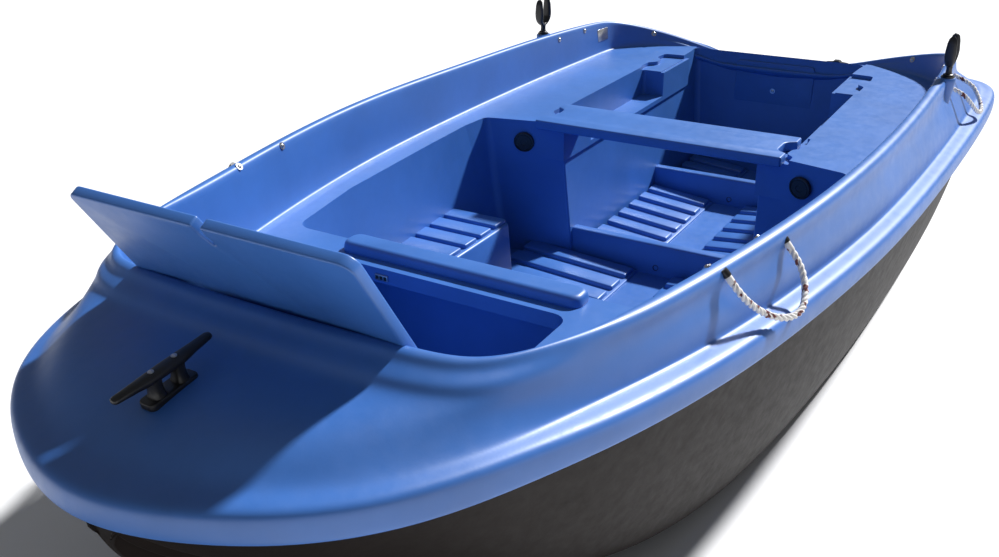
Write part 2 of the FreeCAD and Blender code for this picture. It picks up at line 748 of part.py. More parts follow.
# Stern bolts in the curved quarters, square to the wall.
bolt_x = transom_in + size("quarter_bolt_inset")
bolt_y = inner_breadth(at(bolt_x)) - 3.0
bolt_z = at(bolt_x)["crest_z"] - 19.0
QUARTER_TURN = 50.0
quarter = Vector(math.cos(math.radians(QUARTER_TURN)), -math.sin(math.radians(QUARTER_TURN)), 0)
BOLT_SINK = 20.0
stern_bolt = keep(faceted("stern_bolt_port",
                          FreeCAD.Placement(Vector(bolt_x, bolt_y, bolt_z) - quarter * BOLT_SINK,
                                            FreeCAD.Rotation(Vector(0, 0, 1), quarter)), "7.5", "24"))
copy_across("stern_bolt_starboard", stern_bolt)

# Strike plate of the locker's lock and the drain plug.
strike = keep(bound("Box", "strike_plate", place(locker_aft - 1.0, -155.0, shelf_z - 24.0), Length="3",
                    Width="30", Height="12"))
drain = keep(bound("Cylinder", "drain_plug", place(transom_out - 6.0, 0.0, floor_z + 26.0, *FACING_FORE),
                   Radius="17", Height="sizes.transom_thickness + 10"))

# Every fitting is let into the mouldings that carry it.
AFLOAT = ("rope_handle", "oarlock")
fittings = [item.Shape for item in NODES if not item.Label.startswith(AFLOAT)]
fittings += [socket_outside.Shape, mirror(socket_outside.Shape)]


def let_in(shape, items):
    for item in items:
        if shape.BoundBox.intersect(item.BoundBox):
            shape = shape.cut(item)
    return shape


# The deck moulding is parted at the bulkhead and at the transom.
foredeck = deck.common(box(ridge_aft, half_length + 10.0, -far_out, far_out, 0.0, high))
side_port = deck.common(box(transom_in, ridge_aft, 0.0, far_out, 0.0, high)).fuse(boss)
stern = deck.common(box(-half_length - 10.0, transom_in, -far_out, far_out, 0.0, high))
feature("hull_bottom", solid_of(let_in(hull, fittings).cut(boss).cut(mirror(boss))))
feature("cockpit_liner", solid_of(let_in(cockpit_liner, fittings)))
feature("locker_liner", solid_of(let_in(locker_liner, fittings)))
feature("foredeck", solid_of(let_in(foredeck, fittings)))
feature("side_deck_port", solid_of(let_in(side_port, fittings)))
feature("side_deck_starboard", solid_of(let_in(mirror(side_port), fittings)))
feature("transom", solid_of(let_in(stern, fittings)))

# Side benches lean back at the front. Both stations for the thwart are notches with a bump, and a
# lower ledge runs between them.
thwart_fore = bench_front + size("thwart_lead")
thwart_mid = thwart_fore - size("thwart_width") * 0.5
aft_station = transom_in + size("aft_notch_inset") + size("notch_half")
notch_z = shelf_z - size("notch_drop")
ledge_z = shelf_z - size("ledge_drop")
notch_edge = size("bench_inner") + size("notch_margin")


def bench_plan(front, inner):
    """The bench's outline from its front inner corner, out past the side and back to the transom."""
    skewed = front + size("bench_skew")
    outer = inner + size("bench_skew_width")
    return [(front, inner), (skewed, outer), (skewed, far_out), (transom_in, far_out), (transom_in, inner)]


def notch(middle):
    """The seat of the thwart at one station, with a bump that its end fits round."""
    half, bump = size("notch_half"), size("bump_half")
    tip = notch_edge - size("bump_height")
    corners = [(middle + half, 0.0, 0.0), (middle + half, notch_edge, 0.0), (middle + bump, notch_edge, 8.0),
               (middle + bump * 0.45, tip, 8.0), (middle - bump * 0.45, tip, 8.0),
               (middle - bump, notch_edge, 8.0), (middle - half, notch_edge, 0.0), (middle - half, 0.0, 0.0)]
    return prism(corners, notch_z, high)


bench = well.common(tapered(bench_plan(bench_front - size("bench_rake"), ledge_inner - size("ledge_draft")),
                            floor_z, bench_plan(bench_front, ledge_inner), shelf_z))
trough = box(aft_station + size("notch_half"), thwart_mid - size("notch_half"), 0.0, size("bench_inner"),
             ledge_z, high)
bench = let_in(bench.cut(trough).cut(notch(thwart_mid)).cut(notch(aft_station)), fittings)
feature("bench_port", solid_of(bench))
feature("bench_starboard", solid_of(mirror(bench)))

# The locker's bulkhead carries a rounded ridge across the boat.
ridge_top = shelf_z + size("ridge_rise")
ridge_half = size("ridge_half")
ridge_outline = Part.makePolygon([Vector(ridge_aft + along, -ridge_half, z) for along, z in (
    (0.0, shelf_z), (7.0, ridge_top - 7.0), (15.0, ridge_top), (size("ridge_thickness") - 15.0, ridge_top),
    (size("ridge_thickness") - 7.0, ridge_top - 7.0), (size("ridge_thickness"), shelf_z), (0.0, shelf_z))])
ridge_plan = [(ridge_aft - 1.0, -ridge_half, 20.0), (ridge_fore + 1.0, -ridge_half, 20.0),
              (ridge_fore + 1.0, ridge_half, 20.0), (ridge_aft - 1.0, ridge_half, 20.0)]
ridge = Part.Face(ridge_outline).extrude(Vector(0, ridge_half * 2.0, 0))
feature("bulkhead_ridge", ridge.common(prism(ridge_plan, shelf_z - 1.0, high)))

# Raised side steps stand against the well's sides in front of the benches, with grooves across.
step_aft = bench_front + size("step_setback")
step_fore = step_aft + size("step_length")
step_inner = size("step_inner")
step_top = floor_z + size("step_height")
step_block = box(step_aft, step_fore, step_inner, far_out, floor_z, step_top)
step = well.common(step_block)
STEP_GROOVES = 4
for index in range(STEP_GROOVES):
    middle = step_aft + size("step_length") * (index + 0.5) / STEP_GROOVES
    groove = size("step_groove")
    step = step.cut(box(middle - groove, middle + groove, step_inner - 1.0, far_out, step_top - groove, high))
feature("side_steps", Part.makeCompound([step, mirror(step)]))

# The floor falls to a channel along the middle; slats cross it on both sides.
floor_lip = 5.0


def slatted(fore, aft, half_width):
    """One side of a floor: a sloping bed with as many slats as the pitch allows."""
    inner = size("channel_width") * 0.5
    fall, rise = size("floor_fall"), size("rib_height")

    def bar(x_low, x_high, lift):
        wire = Part.makePolygon([Vector(x_low, y, z) for y, z in (
            (inner, floor_z), (half_width, floor_z), (half_width, floor_z + floor_lip + fall + lift),
            (inner, floor_z + floor_lip + lift), (inner, floor_z))])
        return Part.Face(wire).extrude(Vector(x_high - x_low, 0, 0))

    count = max(1, round((fore - aft) / size("rib_pitch")))
    pitch = (fore - aft) / count
    slats = [bar(fore - pitch * (index + 1) + size("rib_groove") * 0.5, fore - pitch * index
                 - size("rib_groove") * 0.5, rise) for index in range(count)]
    return bar(aft, fore, 0.0).fuse(slats)


frame_fore = bench_front - size("frame_setback")
frame_aft = frame_fore - size("frame_spacing")
frame_depth = size("frame_thickness")
end_gap = size("rib_end_gap")
fore_half = min(well_half(at(ridge_aft))[1][0], ledge_inner + 120.0) - end_gap
aft_half = ledge_inner - size("ledge_draft") - 2.0
fore_side = slatted(ridge_aft - end_gap, frame_fore + 2.0, fore_half).cut(step_block).cut(bench)
aft_sides = [slatted(frame_fore - frame_depth - 2.0, frame_aft + 2.0, aft_half),
             slatted(frame_aft - frame_depth - 2.0, transom_in + end_gap * 2.0, aft_half)]
feature("floor_ribs_fore", Part.makeCompound([solid_of(fore_side), mirror(solid_of(fore_side))]))
aft_slats = [shape for side in aft_sides for shape in (solid_of(side), mirror(side))]
feature("floor_ribs_aft", Part.makeCompound(aft_slats))
FRAME_TAPER = 6.0
for name, x in (("cross_frame_fore", frame_fore), ("cross_frame_aft", frame_aft)):
    profile = Part.makePolygon([Vector(x + along, -ledge_inner, z) for along, z in (
        (0.0, floor_z), (-FRAME_TAPER, floor_z + size("frame_height")),
        (-frame_depth + FRAME_TAPER, floor_z + size("frame_height")),
        (-frame_depth, floor_z), (0.0, floor_z))])
    frame = Part.Face(profile).extrude(Vector(0, ledge_inner * 2.0, 0)).cut(bench).cut(mirror(bench))
    hole = Part.makeCylinder(8.0, frame_depth + 2.0, Vector(x - frame_depth - 1.0, 0, floor_z + 22.0),
                             Vector(1, 0, 0))
    feature(name, solid_of(frame.cut(hole)))

# The thwart lies in its notches, with a bite at each end round the bench's bump.
thwart_low = notch_z + size("seat_gap")
thwart_end = notch_edge - size("thwart_end_gap")
half_width = size("thwart_width") * 0.5
bite_out = size("bump_half") + 4.0
bite_in = size("bump_half") * 0.45 + 6.0
bitten = thwart_end - size("thwart_bite")
port_end = [(half_width, thwart_end, 7.0), (bite_out, thwart_end, 6.0), (bite_in, bitten, 8.0),
            (-bite_in, bitten, 8.0), (-bite_out, thwart_end, 6.0), (-half_width, thwart_end, 7.0)]
thwart_corners = port_end + [(x, -y, radius) for x, y, radius in reversed(port_end)]
keep(plate("thwart", thwart_corners, "sizes.thwart_thickness", place(thwart_mid, 0, thwart_low)))

# The locker lid stands open and leans forward on the coaming, on two hinges at its front edge.
knuckle = size("hinge_knuckle_diameter") * 0.5
hinge_x = locker_fore + size("hinge_setback") + knuckle
hinge_z = shelf_z + knuckle + size("lid_seat_gap")
lid_aft = ridge_fore + size("lid_side_gap")
lid_fore = hinge_x - knuckle - 1.0
lid_low = shelf_z + size("lid_seat_gap")
lid_half = size("lid_width") * 0.5
lid_corner = size("lid_corner")
slot_out = -size("lid_notch_offset")
slot_in = slot_out + size("lid_notch_width")
slot_end = lid_aft + size("lid_notch_depth")
lid_corners = [(lid_fore, -lid_half, 4.0), (lid_fore, lid_half, 4.0), (lid_aft, lid_half, lid_corner),
               (lid_aft, slot_in, 3.0), (slot_end, slot_in, 5.0), (slot_end, slot_out, 5.0),
               (lid_aft, slot_out, 3.0), (lid_aft, -lid_half, lid_corner)]
lid_shape = plate("lid_plate", lid_corners, "sizes.lid_thickness", place(0, 0, lid_low)).Shape.copy()
hinge_half = size("hinge_length") * 0.5
pin_radius_lid = size("hinge_pin_diameter") * 0.5
ear_width = hinge_half * 0.6 - 1.0
across = Vector(0, 1, 0)
base_parts = []
pins = []
for y in (-size("hinge_spacing") * 0.5, size("hinge_spacing") * 0.5):
    knuckle_low, knuckle_high = y - hinge_half * 0.4, y + hinge_half * 0.4
    knuckle_start = Vector(hinge_x, knuckle_low, hinge_z)
    moving = Part.makeCylinder(knuckle, knuckle_high - knuckle_low, knuckle_start, across)
    strap = box(lid_fore - 1.0, hinge_x, knuckle_low, knuckle_high, hinge_z - 2.0, hinge_z + 2.0)
    bore = Part.makeCylinder(pin_radius_lid + size("pin_clearance"), hinge_half,
                             Vector(hinge_x, y - hinge_half * 0.5, hinge_z), across)
    lid_shape = lid_shape.fuse([moving, strap]).cut(bore)
    for low in (y - hinge_half, knuckle_high + 1.0):
        ear = Part.makeCylinder(knuckle, ear_width, Vector(hinge_x, low, hinge_z), across)
        foot = box(hinge_x, hinge_x + 24.0, low, low + ear_width, shelf_z, shelf_z + 3.0)
        web = box(hinge_x - 2.0, hinge_x + 4.0, low, low + ear_width, shelf_z, hinge_z)
        ear_bore = Part.makeCylinder(pin_radius_lid, ear_width, Vector(hinge_x, low, hinge_z), across)
        base_parts.append(ear.fuse([foot, web]).cut(ear_bore))
    pin_start = Vector(hinge_x, y - hinge_half, hinge_z)
    pins.append(Part.makeCylinder(pin_radius_lid, hinge_half * 2.0, pin_start, across))

# The open lid leans on the coaming's edge, so its angle comes from that edge.
coaming_rise = at(coaming_front)["crest_z"] - hinge_z
coaming_reach = coaming_front - hinge_x
lean_gap = lid_low + size("lid_thickness") - hinge_z + size("seat_gap")
lean = math.atan2(coaming_rise, coaming_reach) + math.asin(lean_gap / math.hypot(coaming_rise, coaming_reach))
lid_open = 180.0 - math.degrees(lean)
lid_shape = solid_of(lid_shape)
lid_shape.rotate(Vector(hinge_x, 0, hinge_z), across, lid_open)
feature("locker_lid", lid_shape)
feature("lid_hinge_ears", Part.makeCompound(base_parts))
feature("lid_hinge_pins", Part.makeCompound(pins))

doc.recompute()
for item in doc.Objects:
    bad = [state for state in item.State if state in ("Invalid", "Error")]
    if bad:
        raise RuntimeError("%s is %s" % (item.Label, bad))
for item in NODES:
    if item.Shape.isNull() or not item.Shape.isValid() or item.Shape.Volume <= 0:
        raise RuntimeError("%s has no valid shape" % item.Label)

os.makedirs("parts", exist_ok=True)
for item in NODES:
    item.Shape.exportStep("parts/%s.step" % item.Label)
    print("%-26s %10.1f cm3  solids %d" % (item.Label, item.Shape.Volume / 1000.0, len(item.Shape.Solids)))
print("lid hinge %.3f %.3f opens %.3f" % (hinge_x, hinge_z, lid_open))
print("oarlock axis %.3f %.3f from %.3f" % (oar_x, oar_y, collar_z), "thwart on", thwart_low)
print("fork bend %.2f top %.2f" % (fork_bend_z, fork_top), "deck at cleat %.2f" % deck_height(cleat_x))
print("rope ends", [(round(p.x, 2), round(p.y, 2), round(p.z, 2)) for p in ROPE_ENDS])
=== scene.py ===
# %% [markdown]
# # A small open rowing boat
# The boat is about three metres long: a dark hull below and a blue deck moulding above it. The packed
# frame gives the sizes and what moves. This lesson dresses it: ropes, mouldings, then fittings.

# %% Load the frame
import bpy
import bmesh
import math
from mathutils import Matrix, Vector


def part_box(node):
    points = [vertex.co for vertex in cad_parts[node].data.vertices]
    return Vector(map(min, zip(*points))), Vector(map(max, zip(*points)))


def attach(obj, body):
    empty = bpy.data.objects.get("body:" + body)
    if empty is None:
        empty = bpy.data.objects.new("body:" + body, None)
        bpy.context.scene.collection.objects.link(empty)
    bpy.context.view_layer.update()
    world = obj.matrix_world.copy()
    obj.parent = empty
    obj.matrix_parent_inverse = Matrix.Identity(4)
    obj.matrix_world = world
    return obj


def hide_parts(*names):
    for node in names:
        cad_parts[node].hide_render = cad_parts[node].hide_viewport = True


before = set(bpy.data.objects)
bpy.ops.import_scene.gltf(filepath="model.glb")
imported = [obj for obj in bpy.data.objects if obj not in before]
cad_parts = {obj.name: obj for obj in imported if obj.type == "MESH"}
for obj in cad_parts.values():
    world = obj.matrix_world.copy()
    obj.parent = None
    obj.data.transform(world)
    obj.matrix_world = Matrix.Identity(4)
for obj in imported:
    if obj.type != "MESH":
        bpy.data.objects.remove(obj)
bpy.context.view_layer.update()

# %% [markdown]
# ## The camera
# The photograph looks down on the port bow. The camera's place and turn were worked out from pairs
# of fittings at the same height on both sides of the boat, with a very small shift for the crop.

# %% Camera
CAMERA_PLACE = Vector((2.061, 0.955, 1.294))
CAMERA_HEADING = math.radians(212.05)
CAMERA_DROP = math.radians(25.25)
CAMERA_ROLL = math.radians(-1.21)

camera_data = bpy.data.cameras.new("camera")
camera_data.lens = 36.19
camera_data.sensor_width = 36.0
camera_data.shift_x = 0.011
camera_data.shift_y = -0.0054
camera = bpy.data.objects.new("camera", camera_data)
bpy.context.scene.collection.objects.link(camera)

forward = Vector((math.cos(CAMERA_DROP) * math.cos(CAMERA_HEADING),
    math.cos(CAMERA_DROP) * math.sin(CAMERA_HEADING), -math.sin(CAMERA_DROP)))
level_right = forward.cross(Vector((0, 0, 1))).normalized()
level_up = level_right.cross(forward)
right = level_right * math.cos(CAMERA_ROLL) + level_up * math.sin(CAMERA_ROLL)
up = level_up * math.cos(CAMERA_ROLL) - level_right * math.sin(CAMERA_ROLL)
turn = Matrix((right, up, -forward)).transposed().to_4x4()
camera.matrix_world = Matrix.Translation(CAMERA_PLACE) @ turn
bpy.context.scene.camera = camera

# %% [markdown]
# ## Small helpers
# Every piece is a mesh whose place is in its own vertices, so the object stays at the origin. The
# helpers make such a mesh and give it its body, its slot and the CAD nodes that it stands for.

# %% Mesh helpers
def mesh_piece(name, points, faces):
    mesh = bpy.data.meshes.new(name)
    mesh.from_pydata([tuple(point) for point in points], [], faces)
    mesh.validate()
    piece = bpy.data.objects.new(name, mesh)
    bpy.context.scene.collection.objects.link(piece)
    return piece


def tidy_normals(piece):
    """Merges doubled points and turns every face outwards."""
    bm = bmesh.new()
    bm.from_mesh(piece.data)
    bmesh.ops.remove_doubles(bm, verts=bm.verts, dist=0.00005)
    bmesh.ops.recalc_face_normals(bm, faces=bm.faces)
    bm.to_mesh(piece.data)
    bm.free()
    return piece


def smooth(piece, angle=None):
    for polygon in piece.data.polygons:
        polygon.use_smooth = True
    if angle is not None:
        piece.data.set_sharp_from_angle(angle=math.radians(angle))
    return piece


def add_modifier(piece, kind, **settings):
    modifier = piece.modifiers.new(kind.lower(), kind)
    for setting, value in settings.items():
        setattr(modifier, setting, value)
    return modifier


def subdivide(piece, levels):
    return add_modifier(piece, "SUBSURF", levels=levels, render_levels=levels)


def bake_modifiers(piece):
    """Turns what the modifiers show into the piece's own mesh."""
    graph = bpy.context.evaluated_depsgraph_get()
    mesh = bpy.data.meshes.new_from_object(piece.evaluated_get(graph))
    piece.modifiers.clear()
    piece.data = mesh
    return piece


def dress(piece, body, slot, *nodes):
    """The body, slot, finish and replaced nodes of a finished piece."""
    piece.data.materials.clear()
    piece.data.materials.append(FINISHES[slot])
    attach(piece, body)
    if nodes:
        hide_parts(*nodes)
    return piece


def grid_faces(rows, columns):
    """Quads of a grid whose points run row by row."""
    starts = [row * columns + column for row in range(rows - 1) for column in range(columns - 1)]
    return [(start, start + 1, start + columns + 1, start + columns) for start in starts]


def ring_faces(rings, sides, first=0):
    """The faces of a skin over rings of equally many points, closed at both ends."""
    faces = []
    for start in range(first, first + (rings - 1) * sides, sides):
        for step in range(sides):
            after = (step + 1) % sides
            faces.append((start + step, start + after, start + sides + after, start + sides + step))
    last = first + (rings - 1) * sides
    return faces + [tuple(range(first, first + sides))[::-1], tuple(range(last, last + sides))]


def ringed(name, rings):
    """A piece whose closed skin lies over rings of equally many points."""
    return tidy_normals(mesh_piece(name, [point for ring in rings for point in ring],
        ring_faces(len(rings), len(rings[0]))))


def add_node(tree, kind, inputs=None, **settings):
    """A new node with its own settings and the constant values of its inputs."""
    node = tree.nodes.new(kind)
    for setting, value in settings.items():
        setattr(node, setting, value)
    for socket, value in (inputs or {}).items():
        node.inputs[socket].default_value = value
    return node


def wire(tree, *rows):
    """Links of a tree: an output, or a node and its output's name; then a node and its input's name."""
    for *source, node, socket in rows:
        output = source[0].outputs[source[1]] if len(source) == 2 else source[0]
        tree.links.new(output, node.inputs[socket])


def metres(values):
    """The same measures, from millimetres."""
    return tuple(value / 1000.0 for value in values)


def plan(*corners):
    """An outline in metres: corners of x and y in mm and, where one is round, its radius."""
    return [metres((*corner, 0.0)[:3]) for corner in corners]


SIDES = (("port", 1.0), ("starboard", -1.0))


# %% [markdown]
# ## Materials
# The boat is rotationally moulded, so its plastic has a faint orange-peel surface, slight clouds
# in its colour and a soft gloss. The pattern reads Object coordinates, which stay put on a mesh that
# holds its own place.

# %% Plastic
def new_material(name, colour, roughness, metallic=0.0):
    material = bpy.data.materials.new(name)
    material.use_nodes = True
    shader = material.node_tree.nodes["Principled BSDF"]
    shader.inputs["Base Color"].default_value = (*colour, 1.0)
    shader.inputs["Roughness"].default_value = roughness
    shader.inputs["Metallic"].default_value = metallic
    return material, material.node_tree, shader


def object_noise(tree, scale, detail=3.0, roughness=0.5):
    place = tree.nodes.new("ShaderNodeTexCoord")
    noise = add_node(tree, "ShaderNodeTexNoise", {"Scale": scale, "Detail": detail, "Roughness": roughness})
    tree.links.new(place.outputs["Object"], noise.inputs["Vector"])
    return noise


def blend_colours(tree, factor, low, high, start=0.3, end=0.7):
    ramp = tree.nodes.new("ShaderNodeValToRGB")
    for element, place, colour in zip(ramp.color_ramp.elements, (start, end), (low, high)):
        element.position, element.color = place, (*colour, 1.0)
    tree.links.new(factor, ramp.inputs["Fac"])
    return ramp.outputs["Color"]


def spread(tree, factor, low, high, start=0.0, end=1.0):
    """A value that runs from low to high as the factor runs from start to end."""
    node = add_node(tree, "ShaderNodeMapRange", {"From Min": start, "From Max": end, "To Min": low, "To Max": high})
    tree.links.new(factor, node.inputs["Value"])
    return node.outputs["Result"]


def relief(tree, factor, distance, strength=None, below=None):
    """The normal of a shallow bump, on top of another one if there is one below."""
    node = add_node(tree, "ShaderNodeBump", {"Distance": distance})
    if strength is not None:
        node.inputs["Strength"].default_value = strength
    tree.links.new(factor, node.inputs["Height"])
    if below is not None:
        tree.links.new(below, node.inputs["Normal"])
    return node.outputs["Normal"]


def moulded_plastic(name, colour, roughness, cloud=0.1, peel=0.00012, wear=0.06, specular=None):
    material, tree, shader = new_material(name, colour, roughness)
    low = tuple(value * (1.0 - cloud) for value in colour)
    high = tuple(value * (1.0 + cloud) + 0.002 for value in colour)
    clouds, scuffs, skin, waves = (object_noise(tree, *values).outputs["Fac"]
        for values in ((5.0, 5.0, 0.6), (38.0, 6.0, 0.7), (260.0, 2.0, 0.5), (9.0, 1.0, 0.4)))
    broad = relief(tree, waves, 0.0016, 0.35)
    wire(tree, (blend_colours(tree, clouds, low, high), shader, "Base Color"),
        (spread(tree, scuffs, roughness - wear, roughness + wear, 0.35, 0.75), shader, "Roughness"),
        (relief(tree, skin, peel, 0.5, broad), shader, "Normal"))
    if specular is not None:
        shader.inputs["Specular IOR Level"].default_value = specular
    return material


deck_blue = moulded_plastic("deck_blue", (0.038, 0.152, 0.49), 0.45, specular=0.75)
hull_dark = moulded_plastic("hull_dark", (0.0095, 0.006, 0.0048), 0.52, specular=0.1)
fitting_black = moulded_plastic("fitting_black", (0.01, 0.01, 0.011), 0.38, 0.2, 0.0001)

# %% [markdown]
# Bolts, hinges and the lock's plate are brushed stainless steel. A noise that is stretched along
# one axis gives the fine lines of brushing, in the roughness and in a shallow bump.

# %% Steel
def brushed_steel(name):
    material, tree, shader = new_material(name, (0.55, 0.55, 0.56), 0.3, 1.0)
    place = tree.nodes.new("ShaderNodeTexCoord")
    stretch = add_node(tree, "ShaderNodeMapping", {"Scale": (40.0, 900.0, 900.0)})
    lines = add_node(tree, "ShaderNodeTexNoise", {"Scale": 1.0})
    wire(tree, (place, "Object", stretch, "Vector"), (stretch, "Vector", lines, "Vector"),
        (spread(tree, lines.outputs["Fac"], 0.22, 0.42), shader, "Roughness"),
        (relief(tree, lines.outputs["Fac"], 0.00005), shader, "Normal"))
    return material


steel = brushed_steel("steel")

# %% [markdown]
# ## Rope handles
# Each side has two loops of white laid rope with a few dark flecks. A loop sags between two eyes in
# the gunwale. Three thick strands are wound round its smooth line, because the twist of a laid rope
# shows in its outline too.

# %% Rope material
def rope_material(name):
    material, tree, shader = new_material(name, (0.78, 0.76, 0.74), 0.72)
    flecks = object_noise(tree, 75.0, 1.0, 0.4)
    tree.links.new(blend_colours(tree, flecks.outputs["Fac"], (0.8, 0.78, 0.76), (0.16, 0.035, 0.03), 0.6,
        0.64), shader.inputs["Base Color"])
    fibres = object_noise(tree, 700.0, 3.0, 0.6)
    tree.links.new(relief(tree, fibres.outputs["Fac"], 0.0004), shader.inputs["Normal"])
    shader.inputs["Sheen Weight"].default_value = 0.2
    return material


rope_white = rope_material("rope_white")
FINISHES = {"deck_blue": deck_blue, "hull_dark": hull_dark, "black_plastic": fitting_black, "steel": steel,
    "rope_white": rope_white}

# %% Rope routes
ROPE_DIAMETER = 0.0125
ROPE_ROUTES = {
    "fore": [(0.678, 0.5339, 0.61), (0.676, 0.55, 0.59), (0.65, 0.563, 0.563), (0.624, 0.578, 0.541),
             (0.6, 0.596, 0.528), (0.574, 0.61, 0.524), (0.546, 0.615, 0.526), (0.517, 0.61, 0.537),
             (0.496, 0.6, 0.556), (0.485, 0.587, 0.578), (0.483, 0.5683, 0.6)],
    "aft": [(-0.868, 0.6139, 0.5619), (-0.874, 0.64, 0.552), (-0.886, 0.662, 0.528), (-0.908, 0.678, 0.5),
            (-0.938, 0.686, 0.485), (-0.97, 0.688, 0.484), (-1.0, 0.681, 0.494), (-1.022, 0.665, 0.516),
            (-1.035, 0.643, 0.541), (-1.038, 0.6037, 0.5539)],
}


def smooth_line(points):
    """A curve object whose NURBS spline has these points as its control points."""
    curve = bpy.data.curves.new("rope_line", "CURVE")
    curve.dimensions = "3D"
    curve.resolution_u = 16
    spline = curve.splines.new("NURBS")
    spline.points.add(len(points) - 1)
    for target, point in zip(spline.points, points):
        target.co = (*point, 1.0)
    spline.order_u = 3
    spline.use_endpoint_u = True
    line = bpy.data.objects.new("rope_line", curve)
    bpy.context.scene.collection.objects.link(line)
    return line


def line_points(line):
    """The points that a curve without thickness follows, read from its mesh."""
    graph = bpy.context.evaluated_depsgraph_get()
    mesh = bpy.data.meshes.new_from_object(line.evaluated_get(graph))
    points = [vertex.co.copy() for vertex in mesh.vertices]
    bpy.data.meshes.remove(mesh)
    return points


def even_steps(points, step):
    """The same line with points a step apart, and its length."""
    lengths = [0.0]
    for before, after in zip(points, points[1:]):
        lengths.append(lengths[-1] + (after - before).length)
    count = max(2, round(lengths[-1] / step))
    result = []
    index = 0
    for number in range(count + 1):
        target = lengths[-1] * number / count
        while index < len(points) - 2 and lengths[index + 1] < target:
            index += 1
        span = lengths[index + 1] - lengths[index]
        share = (target - lengths[index]) / span if span > 0 else 0.0
        result.append(points[index].lerp(points[index + 1], share))
    return result, lengths[-1]


def laid_rope(name, path, diameter, lay_length, strands=3, sides=10):
    """Thick strands wound round the path, as one mesh."""
    strand_radius = diameter * 0.29
    orbit = diameter * 0.5 - strand_radius
    points, faces = [], []
    across = Vector((0, 0, 1)).cross(path[1] - path[0]).normalized()
    frames, travelled = [], 0.0
    for index, point in enumerate(path):
        ahead = path[min(index + 1, len(path) - 1)] - path[max(index - 1, 0)]
        ahead.normalize()
        across = (across - ahead * across.dot(ahead)).normalized()
        frames.append((point, across.copy(), ahead.cross(across), travelled))
        if index + 1 < len(path):
            travelled += (path[index + 1] - point).length
    for strand in range(strands):
        first = len(points)
        for point, side, other, distance in frames:
            phase = math.tau * (distance / lay_length + strand / strands)
            outward = side * math.cos(phase) + other * math.sin(phase)
            around = other * math.cos(phase) - side * math.sin(phase)
            for step in range(sides):
                angle = math.tau * step / sides
                points.append(point + outward * (orbit + strand_radius * math.cos(angle))
                    + around * strand_radius * math.sin(angle))
        faces += ring_faces(len(frames), sides, first)
    return smooth(tidy_normals(mesh_piece(name, points, faces)), 60)


# %% Make the four rope handles
for end, route in ROPE_ROUTES.items():
    for side, sign in SIDES:
        line = smooth_line([(x, y * sign, z) for x, y, z in route])
        path, length = even_steps(line_points(line), 0.0022)
        bpy.data.objects.remove(line)
        rope = laid_rope("rope_%s_%s" % (end, side), path, ROPE_DIAMETER, 0.034)
        dress(rope, "boat", "rope_white", "rope_handle_%s_%s" % (end, side))
        print("rope", end, side, "length", round(length, 3))

# %% [markdown]
# ## The deck moulding
# The lip, the ledge above it, the flared band, the steep face, the gunwale and the inner wall are one
# moulding that runs right round the boat, and its section changes all the way. So it is a cage: a
# row of sections from the bow's centre to the stern's, mirrored and smoothed by a Subdivision
# Surface. Points set close together hold a tight round; points far apart give a soft one.

# %% The deck's sections
SHELF_HEIGHT = 0.488
LIP_HEIGHT = 0.052
# Columns in mm: rim x, y, z; shoulder x, y, z; foot of the steep face x, y, z; crest x, y, z.
DECK_SECTIONS = [
    (1500, 0, 556, 1372, 0, 598, 1218, 0, 616, 1167, 0, 655),
    (1494, 60, 556, 1370, 70, 598, 1218, 90, 616, 1166, 90, 655),
    (1473, 128, 555, 1361, 132, 597, 1215, 165, 615, 1163, 170, 655),
    (1437, 203, 554, 1341, 190, 596, 1209, 225, 614, 1157, 235, 654),
    (1394, 268, 553, 1310, 240, 594, 1198, 278, 612, 1148, 290, 650),
    (1340, 326, 552, 1268, 288, 591, 1181, 322, 610, 1130, 332, 645),
    (1275, 374, 550, 1220, 334, 588, 1158, 358, 608, 1103, 366, 644),
    (1200, 415, 548, 1165, 373, 584, 1122, 388, 606, 1066, 393, 643),
    (1105, 458, 545, 1092, 410, 580, 1064, 418, 601, 1020, 415, 642),
    (1000, 500, 540, 998, 447, 576, 985, 446, 597, 962, 440, 640),
    (870, 539, 533, 870, 489, 571, 865, 482, 593, 858, 467, 637),
    (700, 578, 522, 700, 530, 564, 700, 520, 589, 700, 502, 635),
    (500, 610, 510, 500, 570, 556, 500, 560, 586, 500, 543, 635),
    (250, 642, 497, 250, 606, 545, 250, 596, 584, 250, 578, 634),
    (0, 667, 487, 0, 627, 536, 0, 614, 579, 0, 595, 628),
    (-300, 683, 478, -300, 638, 526, -300, 621, 569, -300, 601, 618),
    (-600, 692, 470, -600, 640, 517, -600, 619, 562, -600, 599, 612),
    (-850, 697, 464, -850, 636, 508, -850, 609, 554, -850, 590, 605),
    (-1050, 698, 460, -1050, 629, 500, -1050, 596, 545, -1050, 578, 596),
    (-1200, 696, 457, -1190, 622, 495, -1170, 586, 537, -1150, 568, 589),
    (-1320, 690, 455, -1290, 612, 490, -1250, 570, 528, -1212, 551, 580),
    (-1420, 666, 453, -1365, 582, 486, -1312, 530, 520, -1266, 512, 566),
    (-1475, 610, 452, -1410, 530, 480, -1360, 475, 508, -1312, 456, 547),
    (-1496, 520, 451, -1437, 450, 474, -1395, 398, 494, -1350, 380, 523),
    (-1500, 420, 451, -1450, 366, 468, -1416, 322, 484, -1372, 305, 499),
    (-1498, 320, 451, -1452, 296, 463, -1418, 268, 474, -1380, 252, 483),
    (-1485, 262, 450, -1440, 256, 459, -1410, 240, 466, -1376, 222, 477),
    (-1420, 240, 446, -1406, 225, 452, -1396, 205, 460, -1370, 190, 476),
    (-1404, 200, 444, -1400, 170, 451, -1393, 165, 460, -1368, 150, 476),
    (-1402, 0, 444, -1399, 0, 451, -1392, 0, 460, -1367, 0, 476),
]


